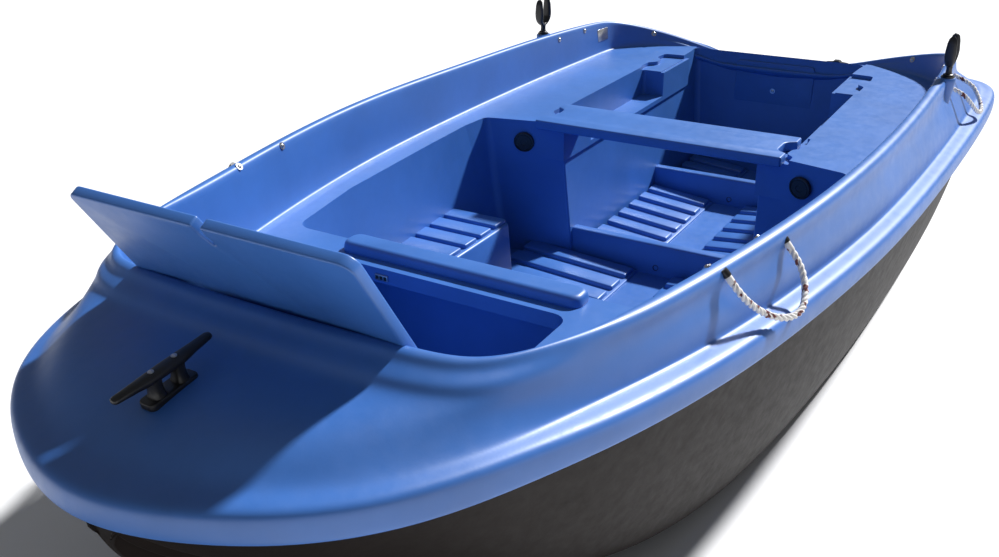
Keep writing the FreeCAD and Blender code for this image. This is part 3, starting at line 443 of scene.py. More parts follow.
def section_ring(values):
    """The cage points of one section, from under the lip over the crest to the inner shelf."""
    rim, shoulder, foot, crest = (Vector(values[start:start + 3]) for start in (0, 3, 6, 9))
    out = Vector((rim.x - crest.x, rim.y - crest.y, 0.0)).normalized()
    face = Vector((foot.x - crest.x, foot.y - crest.y, 0.0)).normalized()

    def from_rim(inward, lift):
        return rim - out * inward + Vector((0, 0, lift))

    def from_crest(outward, lift):
        return crest + face * outward + Vector((0, 0, lift))

    def inner_wall(inward, height):
        point = crest - face * inward
        return Vector((point.x, point.y, height))

    wall_foot = min(SHELF_HEIGHT, crest.z - 0.03)
    middle = (crest.z + wall_foot) * 0.5
    ledge_end = from_rim(0.042, 0.004)
    return [from_rim(0.04, -LIP_HEIGHT), from_rim(0.008, -LIP_HEIGHT), from_rim(0.001, -LIP_HEIGHT + 0.006),
        from_rim(0.0, -0.018), from_rim(0.003, -0.006), from_rim(0.014, 0.001), ledge_end,
        ledge_end.lerp(shoulder, 0.3) + Vector((0, 0, -0.004)), shoulder, shoulder.lerp(foot, 0.7),
        foot + Vector((0, 0, 0.002)), foot.lerp(crest, 0.14) + Vector((0, 0, 0.01)), from_crest(0.018, -0.013),
        from_crest(0.011, -0.002), from_crest(-0.004, 0.001), from_crest(-0.012, -0.004),
        inner_wall(0.015, crest.z - 0.016), inner_wall(0.021, middle), inner_wall(0.026, wall_foot + 0.012),
        inner_wall(0.03, wall_foot + 0.003), inner_wall(0.038, wall_foot + 0.0003),
        inner_wall(0.052, wall_foot + 0.0003), inner_wall(0.056, wall_foot - 0.004),
        inner_wall(0.05, wall_foot - 0.022), from_rim(0.06, -LIP_HEIGHT + 0.012),]


def mirrored(piece):
    """The port half and its starboard twin, joined on the centre line."""
    modifier = add_modifier(piece, "MIRROR", use_clip=True, merge_threshold=0.0002)
    modifier.use_axis = (False, True, False)
    bake_modifiers(piece)
    return piece


rings = [section_ring(metres(row)) for row in DECK_SECTIONS]
for ring in rings:
    ring.append(ring[0])
columns = len(rings[0])
deck = mesh_piece("deck_moulding", [point for ring in rings for point in ring], grid_faces(len(rings), columns))
mirrored(deck)
tidy_normals(deck)
subdivide(deck, 3)
smooth(deck)
dress(deck, "boat", "deck_blue", "foredeck", "side_deck_port", "side_deck_starboard", "transom")
print("deck cage", len(deck.data.polygons), "faces")

# %% [markdown]
# ## The hull
# The dark bottom moulding has three shallow keels with tunnels between them, a flared side and a
# raked stem. It is lofted as a cage of cross sections from the stern to the stem, given a wall by
# Solidify, and the space for the motor is cut from its stern.

# %% Hull sections
# Columns in mm: x; half breadth and height of the side's top; chine half breadth and height; keel height.
HULL_SECTIONS = [
    (-1484, 470, 409, 430, 50, 50),
    (-1474, 536, 408, 486, 24, 24),
    (-1436, 598, 408, 532, 6, 6),
    (-1370, 634, 410, 553, 0, 0),
    (-1280, 654, 412, 562, 0, 0),
    (-1050, 662, 417, 564, 0, 0),
    (-700, 659, 426, 560, 0, 0),
    (-300, 647, 436, 546, 0, 0),
    (50, 628, 446, 518, 0, 0),
    (350, 596, 460, 488, 10, 0),
    (600, 560, 473, 452, 46, 4),
    (800, 523, 484, 412, 104, 18),
    (950, 485, 493, 370, 166, 46),
    (1080, 437, 499, 322, 232, 90),
    (1190, 386, 504, 270, 296, 150),
    (1290, 327, 506, 212, 356, 220),
    (1370, 262, 508, 158, 406, 300),
    (1420, 206, 509, 112, 442, 366),
    (1450, 155, 510, 80, 468, 416),
    (1466, 90, 511, 50, 488, 452),
]
TUNNEL_RISE = 0.042


def hull_half(x, top_y, top_z, chine_y, chine_z, keel_z):
    """Half of one cross section, from the keel's middle to the top of the side."""
    middle = (keel_z + chine_z) * 0.5
    rise = TUNNEL_RISE * min(1.0, chine_y / 0.45)
    roof = middle + rise
    flat = [(0.0, keel_z), (0.09, keel_z), (0.12, keel_z + 0.002), (0.15, keel_z + rise * 0.25),
        (0.26, roof - 0.006), (0.3, roof), (0.4, roof + 0.002), (0.5, roof - 0.004),
        (0.62, chine_z + rise * 0.3), (0.66, chine_z + 0.002), (0.7, chine_z), (0.95, chine_z),
        (0.985, chine_z + 0.003)]
    points = [Vector((x, chine_y * share, z)) for share, z in flat]
    for share, lean in ((0.03, 0.08), (0.12, 0.24), (0.45, 0.58), (0.8, 0.86), (0.97, 0.98), (1.0, 1.0)):
        points.append(Vector((x, chine_y + (top_y - chine_y) * lean, chine_z + (top_z - chine_z) * share)))
    return points


rows = [hull_half(*metres(row)) for row in HULL_SECTIONS]
columns = len(rows[0])
points = [point for row in rows for point in row]
faces = grid_faces(len(rows), columns)
middle_of_stern = len(points)
points.append(Vector((rows[0][0].x - 0.002, 0.0, 0.25)))
stern_loop = list(range(columns)) + [middle_of_stern]
faces.append(tuple(reversed(stern_loop)))
last = (len(rows) - 1) * columns
nose = len(points)
points.append(Vector((1.47, 0.0, 0.512)))
faces.append(tuple(range(last, last + columns)) + (nose,))
hull = mesh_piece("hull_shell", points, faces)
mirrored(hull)
tidy_normals(hull)
subdivide(hull, 2)
add_modifier(hull, "SOLIDIFY", thickness=0.006, offset=-1.0)
bake_modifiers(hull)


# %% Cutting tools
def rounded(outline, segments=5):
    """A closed outline of (x, y, corner radius) as points, its corners made round."""
    points = []
    count = len(outline)
    for index, (x, y, radius) in enumerate(outline):
        corner = Vector((x, y))
        if radius <= 0.0:
            points.append(corner)
            continue
        before = Vector(outline[index - 1][:2]) - corner
        after = Vector(outline[(index + 1) % count][:2]) - corner
        half = before.angle(after) * 0.5
        reach = min(radius / math.tan(half), before.length * 0.49, after.length * 0.49)
        radius = reach * math.tan(half)
        centre = corner + (before.normalized() + after.normalized()).normalized() * radius / math.sin(half)
        start = corner + before.normalized() * reach - centre
        sweep = start.angle_signed(corner + after.normalized() * reach - centre)
        for step in range(segments + 1):
            angle = -sweep * step / segments
            points.append(centre + Vector((start.x * math.cos(angle) - start.y * math.sin(angle),
                start.x * math.sin(angle) + start.y * math.cos(angle))))
    return points


def prism(name, low_outline, low_z, high_outline=None, high_z=None):
    """A closed block between an outline at one height and one at another."""
    low = rounded(low_outline)
    high = rounded(high_outline) if high_outline else low
    count = len(low)
    points = [Vector((p.x, p.y, low_z)) for p in low] + [Vector((p.x, p.y, high_z)) for p in high]
    faces = [tuple(range(count))[::-1], tuple(range(count, 2 * count))]
    for index in range(count):
        after = (index + 1) % count
        faces.append((index, after, count + after, count + index))
    return tidy_normals(mesh_piece(name, points, faces))


def both_sides(half):
    """The whole outline from its port half, which starts and ends on the centre line."""
    return list(half) + [(x, -y, radius) for x, y, radius in reversed(half) if y > 0.0]


def combine(piece, tool, operation):
    """Joins or cuts with a tool, which is then deleted."""
    modifier = add_modifier(piece, "BOOLEAN", object=tool, operation=operation, solver="MANIFOLD")
    bake_modifiers(piece)
    bpy.data.objects.remove(tool)
    return piece


STERN_IN = -1.398
motor_space = prism("motor_space", both_sides([(STERN_IN, 0.0, 0.0), (STERN_IN, 0.262, 0.03),
    (-1.6, 0.262, 0.0), (-1.6, 0.0, 0.0)]), -0.05, None, 0.6)
combine(hull, motor_space, "DIFFERENCE")
smooth(hull, 35)
dress(hull, "boat", "hull_dark", "hull_bottom")

# %% [markdown]
# ## The inner moulding
# The foot well between the benches and the locker are hollows pressed into one skin. So the inner
# moulding is a plate with two tubs under it, and tapered blocks are cut from it by booleans. A Bevel
# then rounds every edge, which gives the bright lines that moulded edges show.

# %% Inner moulding
FLOOR = 0.076
LEDGE_LOW = 0.395
LEDGE_HIGH = 0.476
WELL_TOP = plan((610, 0), (610, 428, 40), (375, 471), (41, 493), (-164, 503), (-258, 496, 22), (-304, 281, 6),
    (-456, 281), (-1004, 281), (-1218, 281), (-1288, 284), (-1336, 290, 20), (-1336, 0))
WELL_FLOOR = plan((598, 0), (598, 392, 50), (375, 446), (41, 470), (-164, 478), (-305, 470, 30),
    (-345, 262, 10), (-456, 262), (-1004, 260), (-1218, 258), (-1276, 256), (-1316, 256, 30), (-1316, 0))
SHELF_PLAN = plan((1166, 0), (1160, 235), (1128, 318), (1056, 376), (962, 424), (700, 484), (250, 560),
    (0, 577), (-600, 581), (-1050, 560), (-1200, 548), (-1266, 494), (-1340, 372), (-1352, 270), (-1352, 0))


def grown(outline, margin):
    """The same outline pushed out by a margin, as a rough tub around a hollow."""
    result = []
    for x, y, radius in outline:
        along = margin if x > 0.0 else -margin if x < -1.2 else 0.0
        result.append((x + along, y + margin if y > 0.0 else 0.0, radius))
    return result


TUB = 0.014


def shape_liner(operation, *block):
    """Joins a block to the inner moulding or cuts it out."""
    combine(liner, prism(*block), operation)


liner = prism("inner_moulding", both_sides(SHELF_PLAN), SHELF_HEIGHT - 0.03, None, SHELF_HEIGHT)
shape_liner("UNION", "well_tub", both_sides(grown(WELL_FLOOR, TUB)), FLOOR - TUB,
    both_sides(grown(WELL_TOP, TUB)), SHELF_HEIGHT - 0.015)
LOCKER_TOP = plan((696, 0), (696, 262, 30), (1018, 262, 30), (1018, 0))
LOCKER_FLOOR = plan((704, 0), (704, 214, 30), (1006, 214, 30), (1006, 0))
LOCKER_BOTTOM = 0.17
shape_liner("UNION", "locker_tub", both_sides(grown(LOCKER_FLOOR, TUB * 0.5)), LOCKER_BOTTOM - TUB,
    both_sides(grown(LOCKER_TOP, TUB * 0.5)), SHELF_HEIGHT - 0.015)

shape_liner("DIFFERENCE", "well_cut", both_sides(WELL_FLOOR), FLOOR, both_sides(WELL_TOP), SHELF_HEIGHT + 0.0002)
shape_liner("DIFFERENCE", "locker_cut", both_sides(LOCKER_FLOOR), LOCKER_BOTTOM, both_sides(LOCKER_TOP),
    SHELF_HEIGHT + 0.0002)

# The thwart's two places are shallow notches with a wavy outer edge, and a lower ledge joins them.
for sign in (1.0, -1.0):
    def side_outline(outline):
        points = [(x, y * sign, radius) for x, y, radius in outline]
        return points if sign > 0 else points[::-1]

    shape_liner("UNION", "ledge_tub", side_outline(plan((-300, 270), (-300, 365), (-1230, 365), (-1230, 270))),
        LEDGE_LOW - TUB, None, SHELF_HEIGHT - 0.015)
    shape_liner("DIFFERENCE", "ledge_cut", side_outline(plan((-470, 250), (-470, 343, 12), (-1004, 343, 12),
        (-1004, 250))), LEDGE_LOW, None, SHELF_HEIGHT + 0.01)
    shape_liner("DIFFERENCE", "fore_notch", side_outline(plan((-240, 250), (-240, 349, 4), (-318, 352, 20),
        (-338, 330, 20), (-372, 334, 16), (-398, 356, 20), (-480, 350, 4), (-480, 250))), LEDGE_HIGH, None,
        SHELF_HEIGHT + 0.01)
    shape_liner("DIFFERENCE", "aft_notch", side_outline(plan((-995, 250), (-995, 349, 4), (-1060, 350, 20),
        (-1082, 326, 20), (-1118, 330, 16), (-1142, 352, 20), (-1200, 346, 16), (-1208, 250))), LEDGE_HIGH,
        None, SHELF_HEIGHT + 0.01)
shape_liner("DIFFERENCE", "transom_cut", both_sides(plan((-1336, 0), (-1336, 290), (-1400, 290), (-1400, 0))),
    LEDGE_HIGH - 0.02, None, 0.6)
tidy_normals(liner)
EDGE_ROUND = 0.0055
add_modifier(liner, "BEVEL", width=EDGE_ROUND, segments=3, limit_method="ANGLE", angle_limit=math.radians(38),
    use_clamp_overlap=True)
bake_modifiers(liner)
smooth(liner, 50)
add_modifier(liner, "WEIGHTED_NORMAL", keep_sharp=True)
dress(liner, "boat", "deck_blue", "cockpit_liner", "locker_liner", "bench_port", "bench_starboard")
print("inner moulding", len(liner.data.polygons), "faces")

# %% [markdown]
# ## Floor of the foot well
# The floor falls from both sides to a channel along the middle, with flat ribs and narrow grooves.
# One rib is drawn, with its twin on the other side, and a small Geometry Nodes tree repeats it
# along the boat. Its count and step are inputs, so the three bays of the floor share it.

# %% Repeat tree
def new_modifier_tree(name, **inputs):
    """A tree for a modifier, with its ends and the identifiers of its further inputs."""
    tree = bpy.data.node_groups.new(name, "GeometryNodeTree")
    tree.is_modifier = True
    sockets = tree.interface
    sockets.new_socket(name="Geometry", in_out="INPUT", socket_type="NodeSocketGeometry")
    identifiers = {}
    for label, kind in inputs.items():
        socket = sockets.new_socket(name=label.capitalize(), in_out="INPUT", socket_type="NodeSocket" + kind)
        identifiers[label] = socket.identifier
    sockets.new_socket(name="Geometry", in_out="OUTPUT", socket_type="NodeSocketGeometry")
    return tree, tree.nodes.new("NodeGroupInput").outputs, identifiers


def copy_to_points(tree, given, points, instance, rotation=None):
    """The end of a tree: the instance on every point, made real and given its material."""
    copies = tree.nodes.new("GeometryNodeInstanceOnPoints")
    real = tree.nodes.new("GeometryNodeRealizeInstances")
    paint = tree.nodes.new("GeometryNodeSetMaterial")
    result = tree.nodes.new("NodeGroupOutput")
    wire(tree, (points, copies, "Points"), (instance, copies, "Instance"),
        (copies, "Instances", real, "Geometry"), (real, "Geometry", paint, "Geometry"),
        (given["Finish"], paint, "Material"), (paint, "Geometry", result, "Geometry"))
    if rotation is not None:
        tree.links.new(rotation, copies.inputs["Rotation"])


def repeat_tree():
    """A tree that repeats its own mesh a number of times, a step apart."""
    tree, given, identifiers = new_modifier_tree("repeat_along", count="Int", step="Vector", finish="Material")
    line = add_node(tree, "GeometryNodeMeshLine", mode="OFFSET")
    wire(tree, (given["Count"], line, "Count"), (given["Step"], line, "Offset"))
    copy_to_points(tree, given, line.outputs["Mesh"], given["Geometry"])
    return tree, identifiers


def run_tree(piece, tree, identifiers, **values):
    """Puts a tree on a piece with the values of its inputs, and turns what it shows into the mesh."""
    modifier = add_modifier(piece, "NODES", node_group=tree)
    for label, value in values.items():
        modifier[identifiers[label]] = value
    return bake_modifiers(piece)


REPEAT_TREE, REPEAT_INPUTS = repeat_tree()


def repeat(piece, count, step, finish):
    """Repeats a finished piece by the tree."""
    return run_tree(piece, REPEAT_TREE, REPEAT_INPUTS, count=count, step=step, finish=finish)


def soft_edges(piece, width, segments=3, angle=30):
    """Rounded edges with clean shading on a piece made of flat faces."""
    add_modifier(piece, "BEVEL", width=width, segments=segments, limit_method="ANGLE",
        angle_limit=math.radians(angle), use_clamp_overlap=True)
    bake_modifiers(piece)
    smooth(piece, 50)
    return piece


def joined(name, pieces):
    """One object from several."""
    points, faces = [], []
    for piece in pieces:
        first = len(points)
        points += [vertex.co.copy() for vertex in piece.data.vertices]
        faces += [tuple(first + index for index in polygon.vertices) for polygon in piece.data.polygons]
        bpy.data.objects.remove(piece)
    return smooth(mesh_piece(name, points, faces), 50)


# %% Floor bays
CHANNEL_HALF = 0.055
FLOOR_FALL = 0.02
RIB_HEIGHT = 0.012
RIB_PITCH = 0.083
RIB_GROOVE = 0.024
# Columns: name, aft end, fore end, half width of the floor, node that it stands for.
FLOOR_BAYS = [
    ("floor_fore", -0.343, 0.594, 0.384, "floor_ribs_fore"),
    ("floor_middle", -0.949, -0.395, 0.256, "floor_ribs_aft"),
    ("floor_aft", -1.31, -1.001, 0.252, None),
]


def block_on_slope(name, x_low, x_high, y_in, y_out, z_in, z_out, deep, narrow):
    """A block across the floor whose top slopes from the channel up to the side."""
    points, faces = [], []
    for y, z in ((y_in, z_in), (y_out, z_out)):
        points += [Vector((x_low, y, FLOOR - deep)), Vector((x_high, y, FLOOR - deep)),
            Vector((x_high - narrow, y, z)), Vector((x_low + narrow, y, z))]
    faces = [(0, 3, 2, 1), (4, 5, 6, 7), (0, 1, 5, 4), (1, 2, 6, 5), (2, 3, 7, 6), (3, 0, 4, 7)]
    return tidy_normals(mesh_piece(name, points, faces))


def other_side(piece):
    """A piece and its twin across the middle of the boat."""
    twin = mesh_piece(piece.name + "_twin", [Vector((v.co.x, -v.co.y, v.co.z)) for v in piece.data.vertices],
        [tuple(polygon.vertices) for polygon in piece.data.polygons])
    tidy_normals(twin)
    return joined(piece.name, [piece, twin])


for name, aft_end, fore_end, half, node in FLOOR_BAYS:
    bed_low, bed_high = FLOOR + 0.005, FLOOR + 0.005 + FLOOR_FALL
    count = max(1, round((fore_end - aft_end) / RIB_PITCH))
    pitch = (fore_end - aft_end) / count
    rib = block_on_slope(name + "_ribs", aft_end + RIB_GROOVE * 0.5, aft_end + pitch - RIB_GROOVE * 0.5,
        CHANNEL_HALF + 0.004, half, bed_low + RIB_HEIGHT, bed_high + RIB_HEIGHT, 0.004, 0.003)
    soft_edges(rib, 0.0045)
    rib = repeat(other_side(rib), count, (pitch, 0.0, 0.0), deck_blue)
    bed = block_on_slope(name + "_bed", aft_end, fore_end, CHANNEL_HALF - 0.004, half, bed_low, bed_high,
        0.004, 0.0)
    soft_edges(bed, 0.004)
    bed = other_side(bed)
    floor_piece = joined(name, [rib, bed])
    dress(floor_piece, "boat", "deck_blue", *([node] if node else []))
    print(name, count, "ribs", len(floor_piece.data.polygons), "faces")

# %% [markdown]
# Two low frames cross the floor between the benches, each with a drain hole over the channel. The
# hole is not cut: a black disc on the frame's face is painted shade for its dark inside. On
# both sides in front of the benches a raised step stands against the side, with four flat treads.

# %% Cross frames
for name, fore_face in (("cross_frame_fore", -0.344), ("cross_frame_aft", -0.95)):
    frame_piece = prism(name + "_moulded", [(fore_face, -0.262, 0.0), (fore_face, 0.262, 0.0),
        (fore_face - 0.05, 0.262, 0.0), (fore_face - 0.05, -0.262, 0.0)], FLOOR - 0.006,
        [(fore_face - 0.009, -0.271, 0.0), (fore_face - 0.009, 0.271, 0.0), (fore_face - 0.041, 0.271, 0.0),
        (fore_face - 0.041, -0.271, 0.0)], FLOOR + 0.089)
    soft_edges(frame_piece, 0.007, 4)
    dress(frame_piece, "boat", "deck_blue", name)

# %% Drain holes and side steps
def turned(name, profile, centre, axis, steps=40):
    """A turned shape: rings of (radius, height) in mm round an axis, closed at both ends."""
    turn = Vector(axis).normalized().to_track_quat("Z", "Y").to_matrix()
    angles = [math.tau * step / steps for step in range(steps)]
    return ringed(name, [[Vector(centre) + turn @ Vector((radius * math.cos(angle), radius * math.sin(angle),
        height)) for angle in angles] for radius, height in map(metres, profile)])


# Each drain hole is a black disc on the frame's fore face, painted shade for the hole's dark inside; the frame
# itself is not cut.
for name, fore_face in (("fore", -0.344), ("aft", -0.95)):
    black_disc = turned("drain_hole_shade_" + name, [(7.5, -1), (8.5, 0.3), (8.5, 0.9), (7, 1.1), (6.2, -0.8)],
        (fore_face - 0.0022, 0.0, FLOOR + 0.022), (1.0, 0.0, 0.1))
    smooth(black_disc, 50)
    dress(black_disc, "boat", "black_plastic")

STEP_AFT, STEP_FORE, STEP_TREADS = -0.08, 0.21, 4
step_top = FLOOR + 0.194
body = prism("side_steps_moulded", [(STEP_AFT - 0.006, 0.3, 0.02), (STEP_FORE + 0.006, 0.3, 0.02),
    (STEP_FORE + 0.006, 0.48, 0.0), (STEP_AFT - 0.006, 0.48, 0.0)], FLOOR - 0.004,
    [(STEP_AFT, 0.312, 0.02), (STEP_FORE, 0.312, 0.02), (STEP_FORE, 0.492, 0.0), (STEP_AFT, 0.492, 0.0)],
    step_top)
soft_edges(body, 0.006)
tread_length = (STEP_FORE - STEP_AFT) / STEP_TREADS
tread = prism("tread", [(STEP_AFT + 0.009, 0.322, 0.0), (STEP_AFT + tread_length - 0.009, 0.322, 0.0),
    (STEP_AFT + tread_length - 0.009, 0.492, 0.0), (STEP_AFT + 0.009, 0.492, 0.0)], step_top - 0.004, None,
    step_top + 0.011)
soft_edges(tread, 0.004)
repeat(tread, STEP_TREADS, (tread_length, 0.0, 0.0), deck_blue)
steps = other_side(joined("side_steps_moulded", [body, tread]))
dress(steps, "boat", "deck_blue", "side_steps")

# %% [markdown]
# ## Bulkhead ridge and thwart
# A rounded ridge crosses the boat behind the locker. The thwart is one moulded board whose ends are
# bitten out round the bumps of its seats. An outline, a thickness and a Bevel make both.

# %% Ridge and thwart
ridge = prism("bulkhead_ridge_moulded", plan((609, -266, 20), (669, -266, 20), (669, 266, 20), (609, 266, 20)),
    SHELF_HEIGHT - 0.004, plan((613, -262, 20), (665, -262, 20), (665, 262, 20), (613, 262, 20)),
    SHELF_HEIGHT + 0.022)
soft_edges(ridge, 0.009, 5)
dress(ridge, "boat", "deck_blue", "bulkhead_ridge")

THWART_LOW, THWART_HIGH = 0.4763, 0.5023
thwart_half = plan((-258, 338, 6), (-300, 338, 4), (-316, 312, 24), (-382, 312, 24), (-400, 338, 4), (-440, 338, 6))
thwart_plan = thwart_half + [(x, -y, radius) for x, y, radius in reversed(thwart_half)]
thwart_board = prism("thwart_moulded", thwart_plan, THWART_LOW, None, THWART_HIGH)
soft_edges(thwart_board, 0.0055, 4, 60)
dress(thwart_board, "seat", "deck_blue", "thwart")
print("thwart", [round(value, 3) for value in thwart_board.dimensions])

# %% [markdown]
# ## Locker lid
# The lid is a thick plate with round free corners and a slot for the lock's tongue in its free edge.
# It is drawn lying flat on the locker, because flat is easy to measure, and then its points are
# turned about the hinge to the open position that the frame has at rest.

# %% Lid
HINGE = Vector((1.0425, 0.0, 0.4955))
LID_OPEN = math.radians(121.754)
LID_LOW, LID_HIGH = 0.489, 0.507
LID_HALF = 0.254
LID_FREE, LID_HINGED = 0.673, 1.035
SLOT_OUT, SLOT_IN, SLOT_DEEP = -0.009, 0.008, 0.036
lid_plan = [(LID_HINGED, -LID_HALF, 0.004), (LID_HINGED, LID_HALF, 0.004), (LID_FREE, LID_HALF, 0.02),
    (LID_FREE, SLOT_IN, 0.004), (LID_FREE + 0.014, SLOT_IN - 0.002, 0.006),
    (LID_FREE + SLOT_DEEP, SLOT_IN + 0.007, 0.003), (LID_FREE + SLOT_DEEP + 0.002, SLOT_IN - 0.002, 0.003),
    (LID_FREE + 0.018, SLOT_OUT + 0.003, 0.01), (LID_FREE, SLOT_OUT, 0.004), (LID_FREE, -LID_HALF, 0.014)]
lid_board = prism("locker_lid_moulded", lid_plan, LID_LOW, None, LID_HIGH)
soft_edges(lid_board, 0.0035, 3, 60)


def opened(piece):
    """Turns a piece drawn on the closed locker to the lid's open place."""
    turn = Matrix.Translation(HINGE) @ Matrix.Rotation(LID_OPEN, 4, "Y") @ Matrix.Translation(-HINGE)
    piece.data.transform(turn)
    return piece


dress(opened(lid_board), "lid", "deck_blue", "locker_lid")
for number, y in enumerate((-0.16, 0.16)):
    knuckle = turned("lid_knuckle_%d" % number, [(6.2, -13.8), (6.5, -13.4), (6.5, 13.4), (6.2, 13.8)],
        (HINGE.x, y, HINGE.z), (0, 1, 0), 24)
    leaf_plate = prism("lid_leaf_%d" % number, [(HINGE.x - 0.045, y - 0.0138, 0.003),
        (HINGE.x, y - 0.0138, 0.0), (HINGE.x, y + 0.0138, 0.0), (HINGE.x - 0.045, y + 0.0138, 0.003)],
        LID_LOW - 0.0006, None, LID_LOW + 0.0008)
    hinge_leaf = joined("lid_hinge_leaf_%d" % number, [knuckle, leaf_plate])
    dress(opened(hinge_leaf), "lid", "steel")

# %% [markdown]
# ## Black plastic fittings
# The plugs in the bench fronts and the oarlocks' stems are turned shapes. The cleat's bar and the
# oarlock's fork change their section along their length, so both are rows of rings along a line.

# %% Inspection plugs
hatch_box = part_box("hatch_cover_port")
hatch_middle = (Vector(hatch_box[0]) + Vector(hatch_box[1])) * 0.5
for side, sign in SIDES:
    along_face = Vector((0.06, 0.206 * sign, 0.0))
    up_face = Vector((0.045, 0.0, 0.412))
    outward = along_face.cross(up_face).normalized()
    if outward.x < 0.0:
        outward = -outward
    centre = Vector((hatch_middle.x, hatch_middle.y * sign, hatch_middle.z)) - outward * 0.004
    black_disc = turned("inspection_plug_" + side, [(27.5, -4), (28.8, 0), (28.8, 4.5), (27.4, 6.2), (24, 6.6),
        (23.4, 4.8), (22.2, 4.8), (21.6, 5.8), (9.2, 6), (8.4, 5), (5.5, 5)], centre, outward, 64)
    smooth(black_disc, 35)
    dress(black_disc, "boat", "black_plastic", "hatch_cover_" + side)

# %% Ring shapes
def oval(centre, side, upright, half_side, half_up, power=2.6, steps=20):
    """Points of a rounded section round a centre."""
    ring = []
    for step in range(steps):
        angle = math.tau * step / steps
        across, rise = math.cos(angle), math.sin(angle)
        ring.append(centre + side * (half_side * math.copysign(abs(across) ** (2.0 / power), across))
            + upright * (half_up * math.copysign(abs(rise) ** (2.0 / power), rise)))
    return ring


# %% Cleat
# Columns: place along the bar, half width, height of the middle, half thickness.
CLEAT_BAR = [(-0.084, 0.003, 0.0375, 0.002), (-0.0825, 0.0056, 0.0375, 0.004),
    (-0.078, 0.0068, 0.0374, 0.0052), (-0.05, 0.0084, 0.036, 0.0062), (-0.03, 0.0104, 0.0345, 0.0076),
    (0.0, 0.011, 0.0345, 0.0078), (0.03, 0.0104, 0.0345, 0.0076), (0.05, 0.0084, 0.036, 0.0062),
    (0.078, 0.0068, 0.0374, 0.0052), (0.0825, 0.0056, 0.0375, 0.004), (0.084, 0.003, 0.0375, 0.002)]
cleat_bar = ringed("cleat_bar", [oval(Vector((x, 0, z)), Vector((0, 1, 0)), Vector((0, 0, 1)), half, thick)
    for x, half, z, thick in CLEAT_BAR])
cleat_parts = [cleat_bar]
for place in (-0.02, 0.02):
    cleat_parts.append(ringed("cleat_post", [oval(Vector((place, 0, z)), Vector((1, 0, 0)), Vector((0, 1, 0)),
        half, half * 1.15, 3.0) for z, half in ((0.003, 0.012), (0.009, 0.01), (0.016, 0.0088),
        (0.024, 0.0088), (0.032, 0.0095))]))
cleat_base = prism("cleat_base", plan((42, -15, 9), (42, 15, 9), (-42, 15, 9), (-42, -15, 9)), -0.005, None, 0.006)
soft_edges(cleat_base, 0.002)
cleat_parts.append(cleat_base)
cleat = joined("foredeck_cleat_moulded", cleat_parts)
CLEAT_PLACE = Vector((1.328, 0.0, 0.6023))
cleat_fall = math.atan2(0.602 - 0.614, 0.12)
to_deck = Matrix.Translation(CLEAT_PLACE) @ Matrix.Rotation(-cleat_fall, 4, "Y")
cleat.data.transform(to_deck)
dress(cleat, "boat", "black_plastic", "foredeck_cleat")

# %% Oarlocks
OAR_X, OAR_Y, COLLAR = -0.798, 0.60804, 0.611345
FORK_LOW = COLLAR + 0.023
FORK_HALF = 0.0255
BEND_Z = FORK_LOW + 0.03
FORK_TOP = FORK_LOW + 0.084


def leaf_half(z):
    """Half the fork's breadth at a height: a leaf, broadest above its middle and pointed on top."""
    share = min(1.0, max(0.0, (z - FORK_LOW + 0.006) / (FORK_TOP - FORK_LOW + 0.007)))
    return 0.0042 + 0.01 * math.sin(math.pi * min(1.0, share * 0.93)) ** 0.8


fork_line = [(FORK_HALF * 0.86, FORK_TOP), (FORK_HALF * 0.93, FORK_TOP - 0.006), (FORK_HALF, FORK_TOP - 0.018),
    (FORK_HALF, BEND_Z + 0.012), (FORK_HALF, BEND_Z)]
fork_line += [(FORK_HALF * math.cos(math.radians(angle)), BEND_Z + FORK_HALF * math.sin(math.radians(angle)))
    for angle in range(-15, -180, -15)]
fork_line += [(-x, z) for x, z in reversed(fork_line[:5])]
for side, sign in SIDES:
    middle = Vector((OAR_X, OAR_Y * sign, 0.0))
    rings = []
    for index, (x, z) in enumerate(fork_line):
        before = Vector(fork_line[max(index - 1, 0)])
        after = Vector(fork_line[min(index + 1, len(fork_line) - 1)])
        run = (after - before).normalized()
        inward = Vector((run.y, 0.0, -run.x))
        tip = index in (0, len(fork_line) - 1)
        rings.append(oval(middle + Vector((x, 0, z)), Vector((0, 1, 0)), inward,
            leaf_half(z) * (0.5 if tip else 1.0), 0.0022 if tip else 0.0046, 2.8, 24))
    fork = ringed("fork", rings)
    stem = turned("stem", [(5.9, -48), (5.9, 0), (12.8, 0.2), (13.2, 1), (13.2, 4.2), (12, 5.2), (8.8, 6),
        (8, 10), (7.4, 18), (8.4, 24), (7.8, 29)], middle + Vector((0, 0, COLLAR)), (0, 0, 1))
    dress(joined("oarlock_fork_moulded_" + side, [fork, stem]), "oarlock_fork_" + side, "black_plastic",
        "oarlock_" + side)
    boss = turned("oarlock_boss_" + side, [(15, -72), (19, -40), (22.5, -12), (22.8, -4), (21, -0.6), (18, 0)],
        middle + Vector((0, -0.002 * sign, COLLAR - 0.0036)), (0, 0, 1), 48)
    smooth(boss, 45)
    dress(boss, "boat", "deck_blue")
print("oarlock fork", round(FORK_TOP, 3))

# %% [markdown]
# ## Bolts, pads and plates
# A second tree makes one bolt head from a washer and a dome and puts it on every point of a mesh,
# facing as the point's attribute says. A ray from inside the boat finds a bolt's place on the deck.

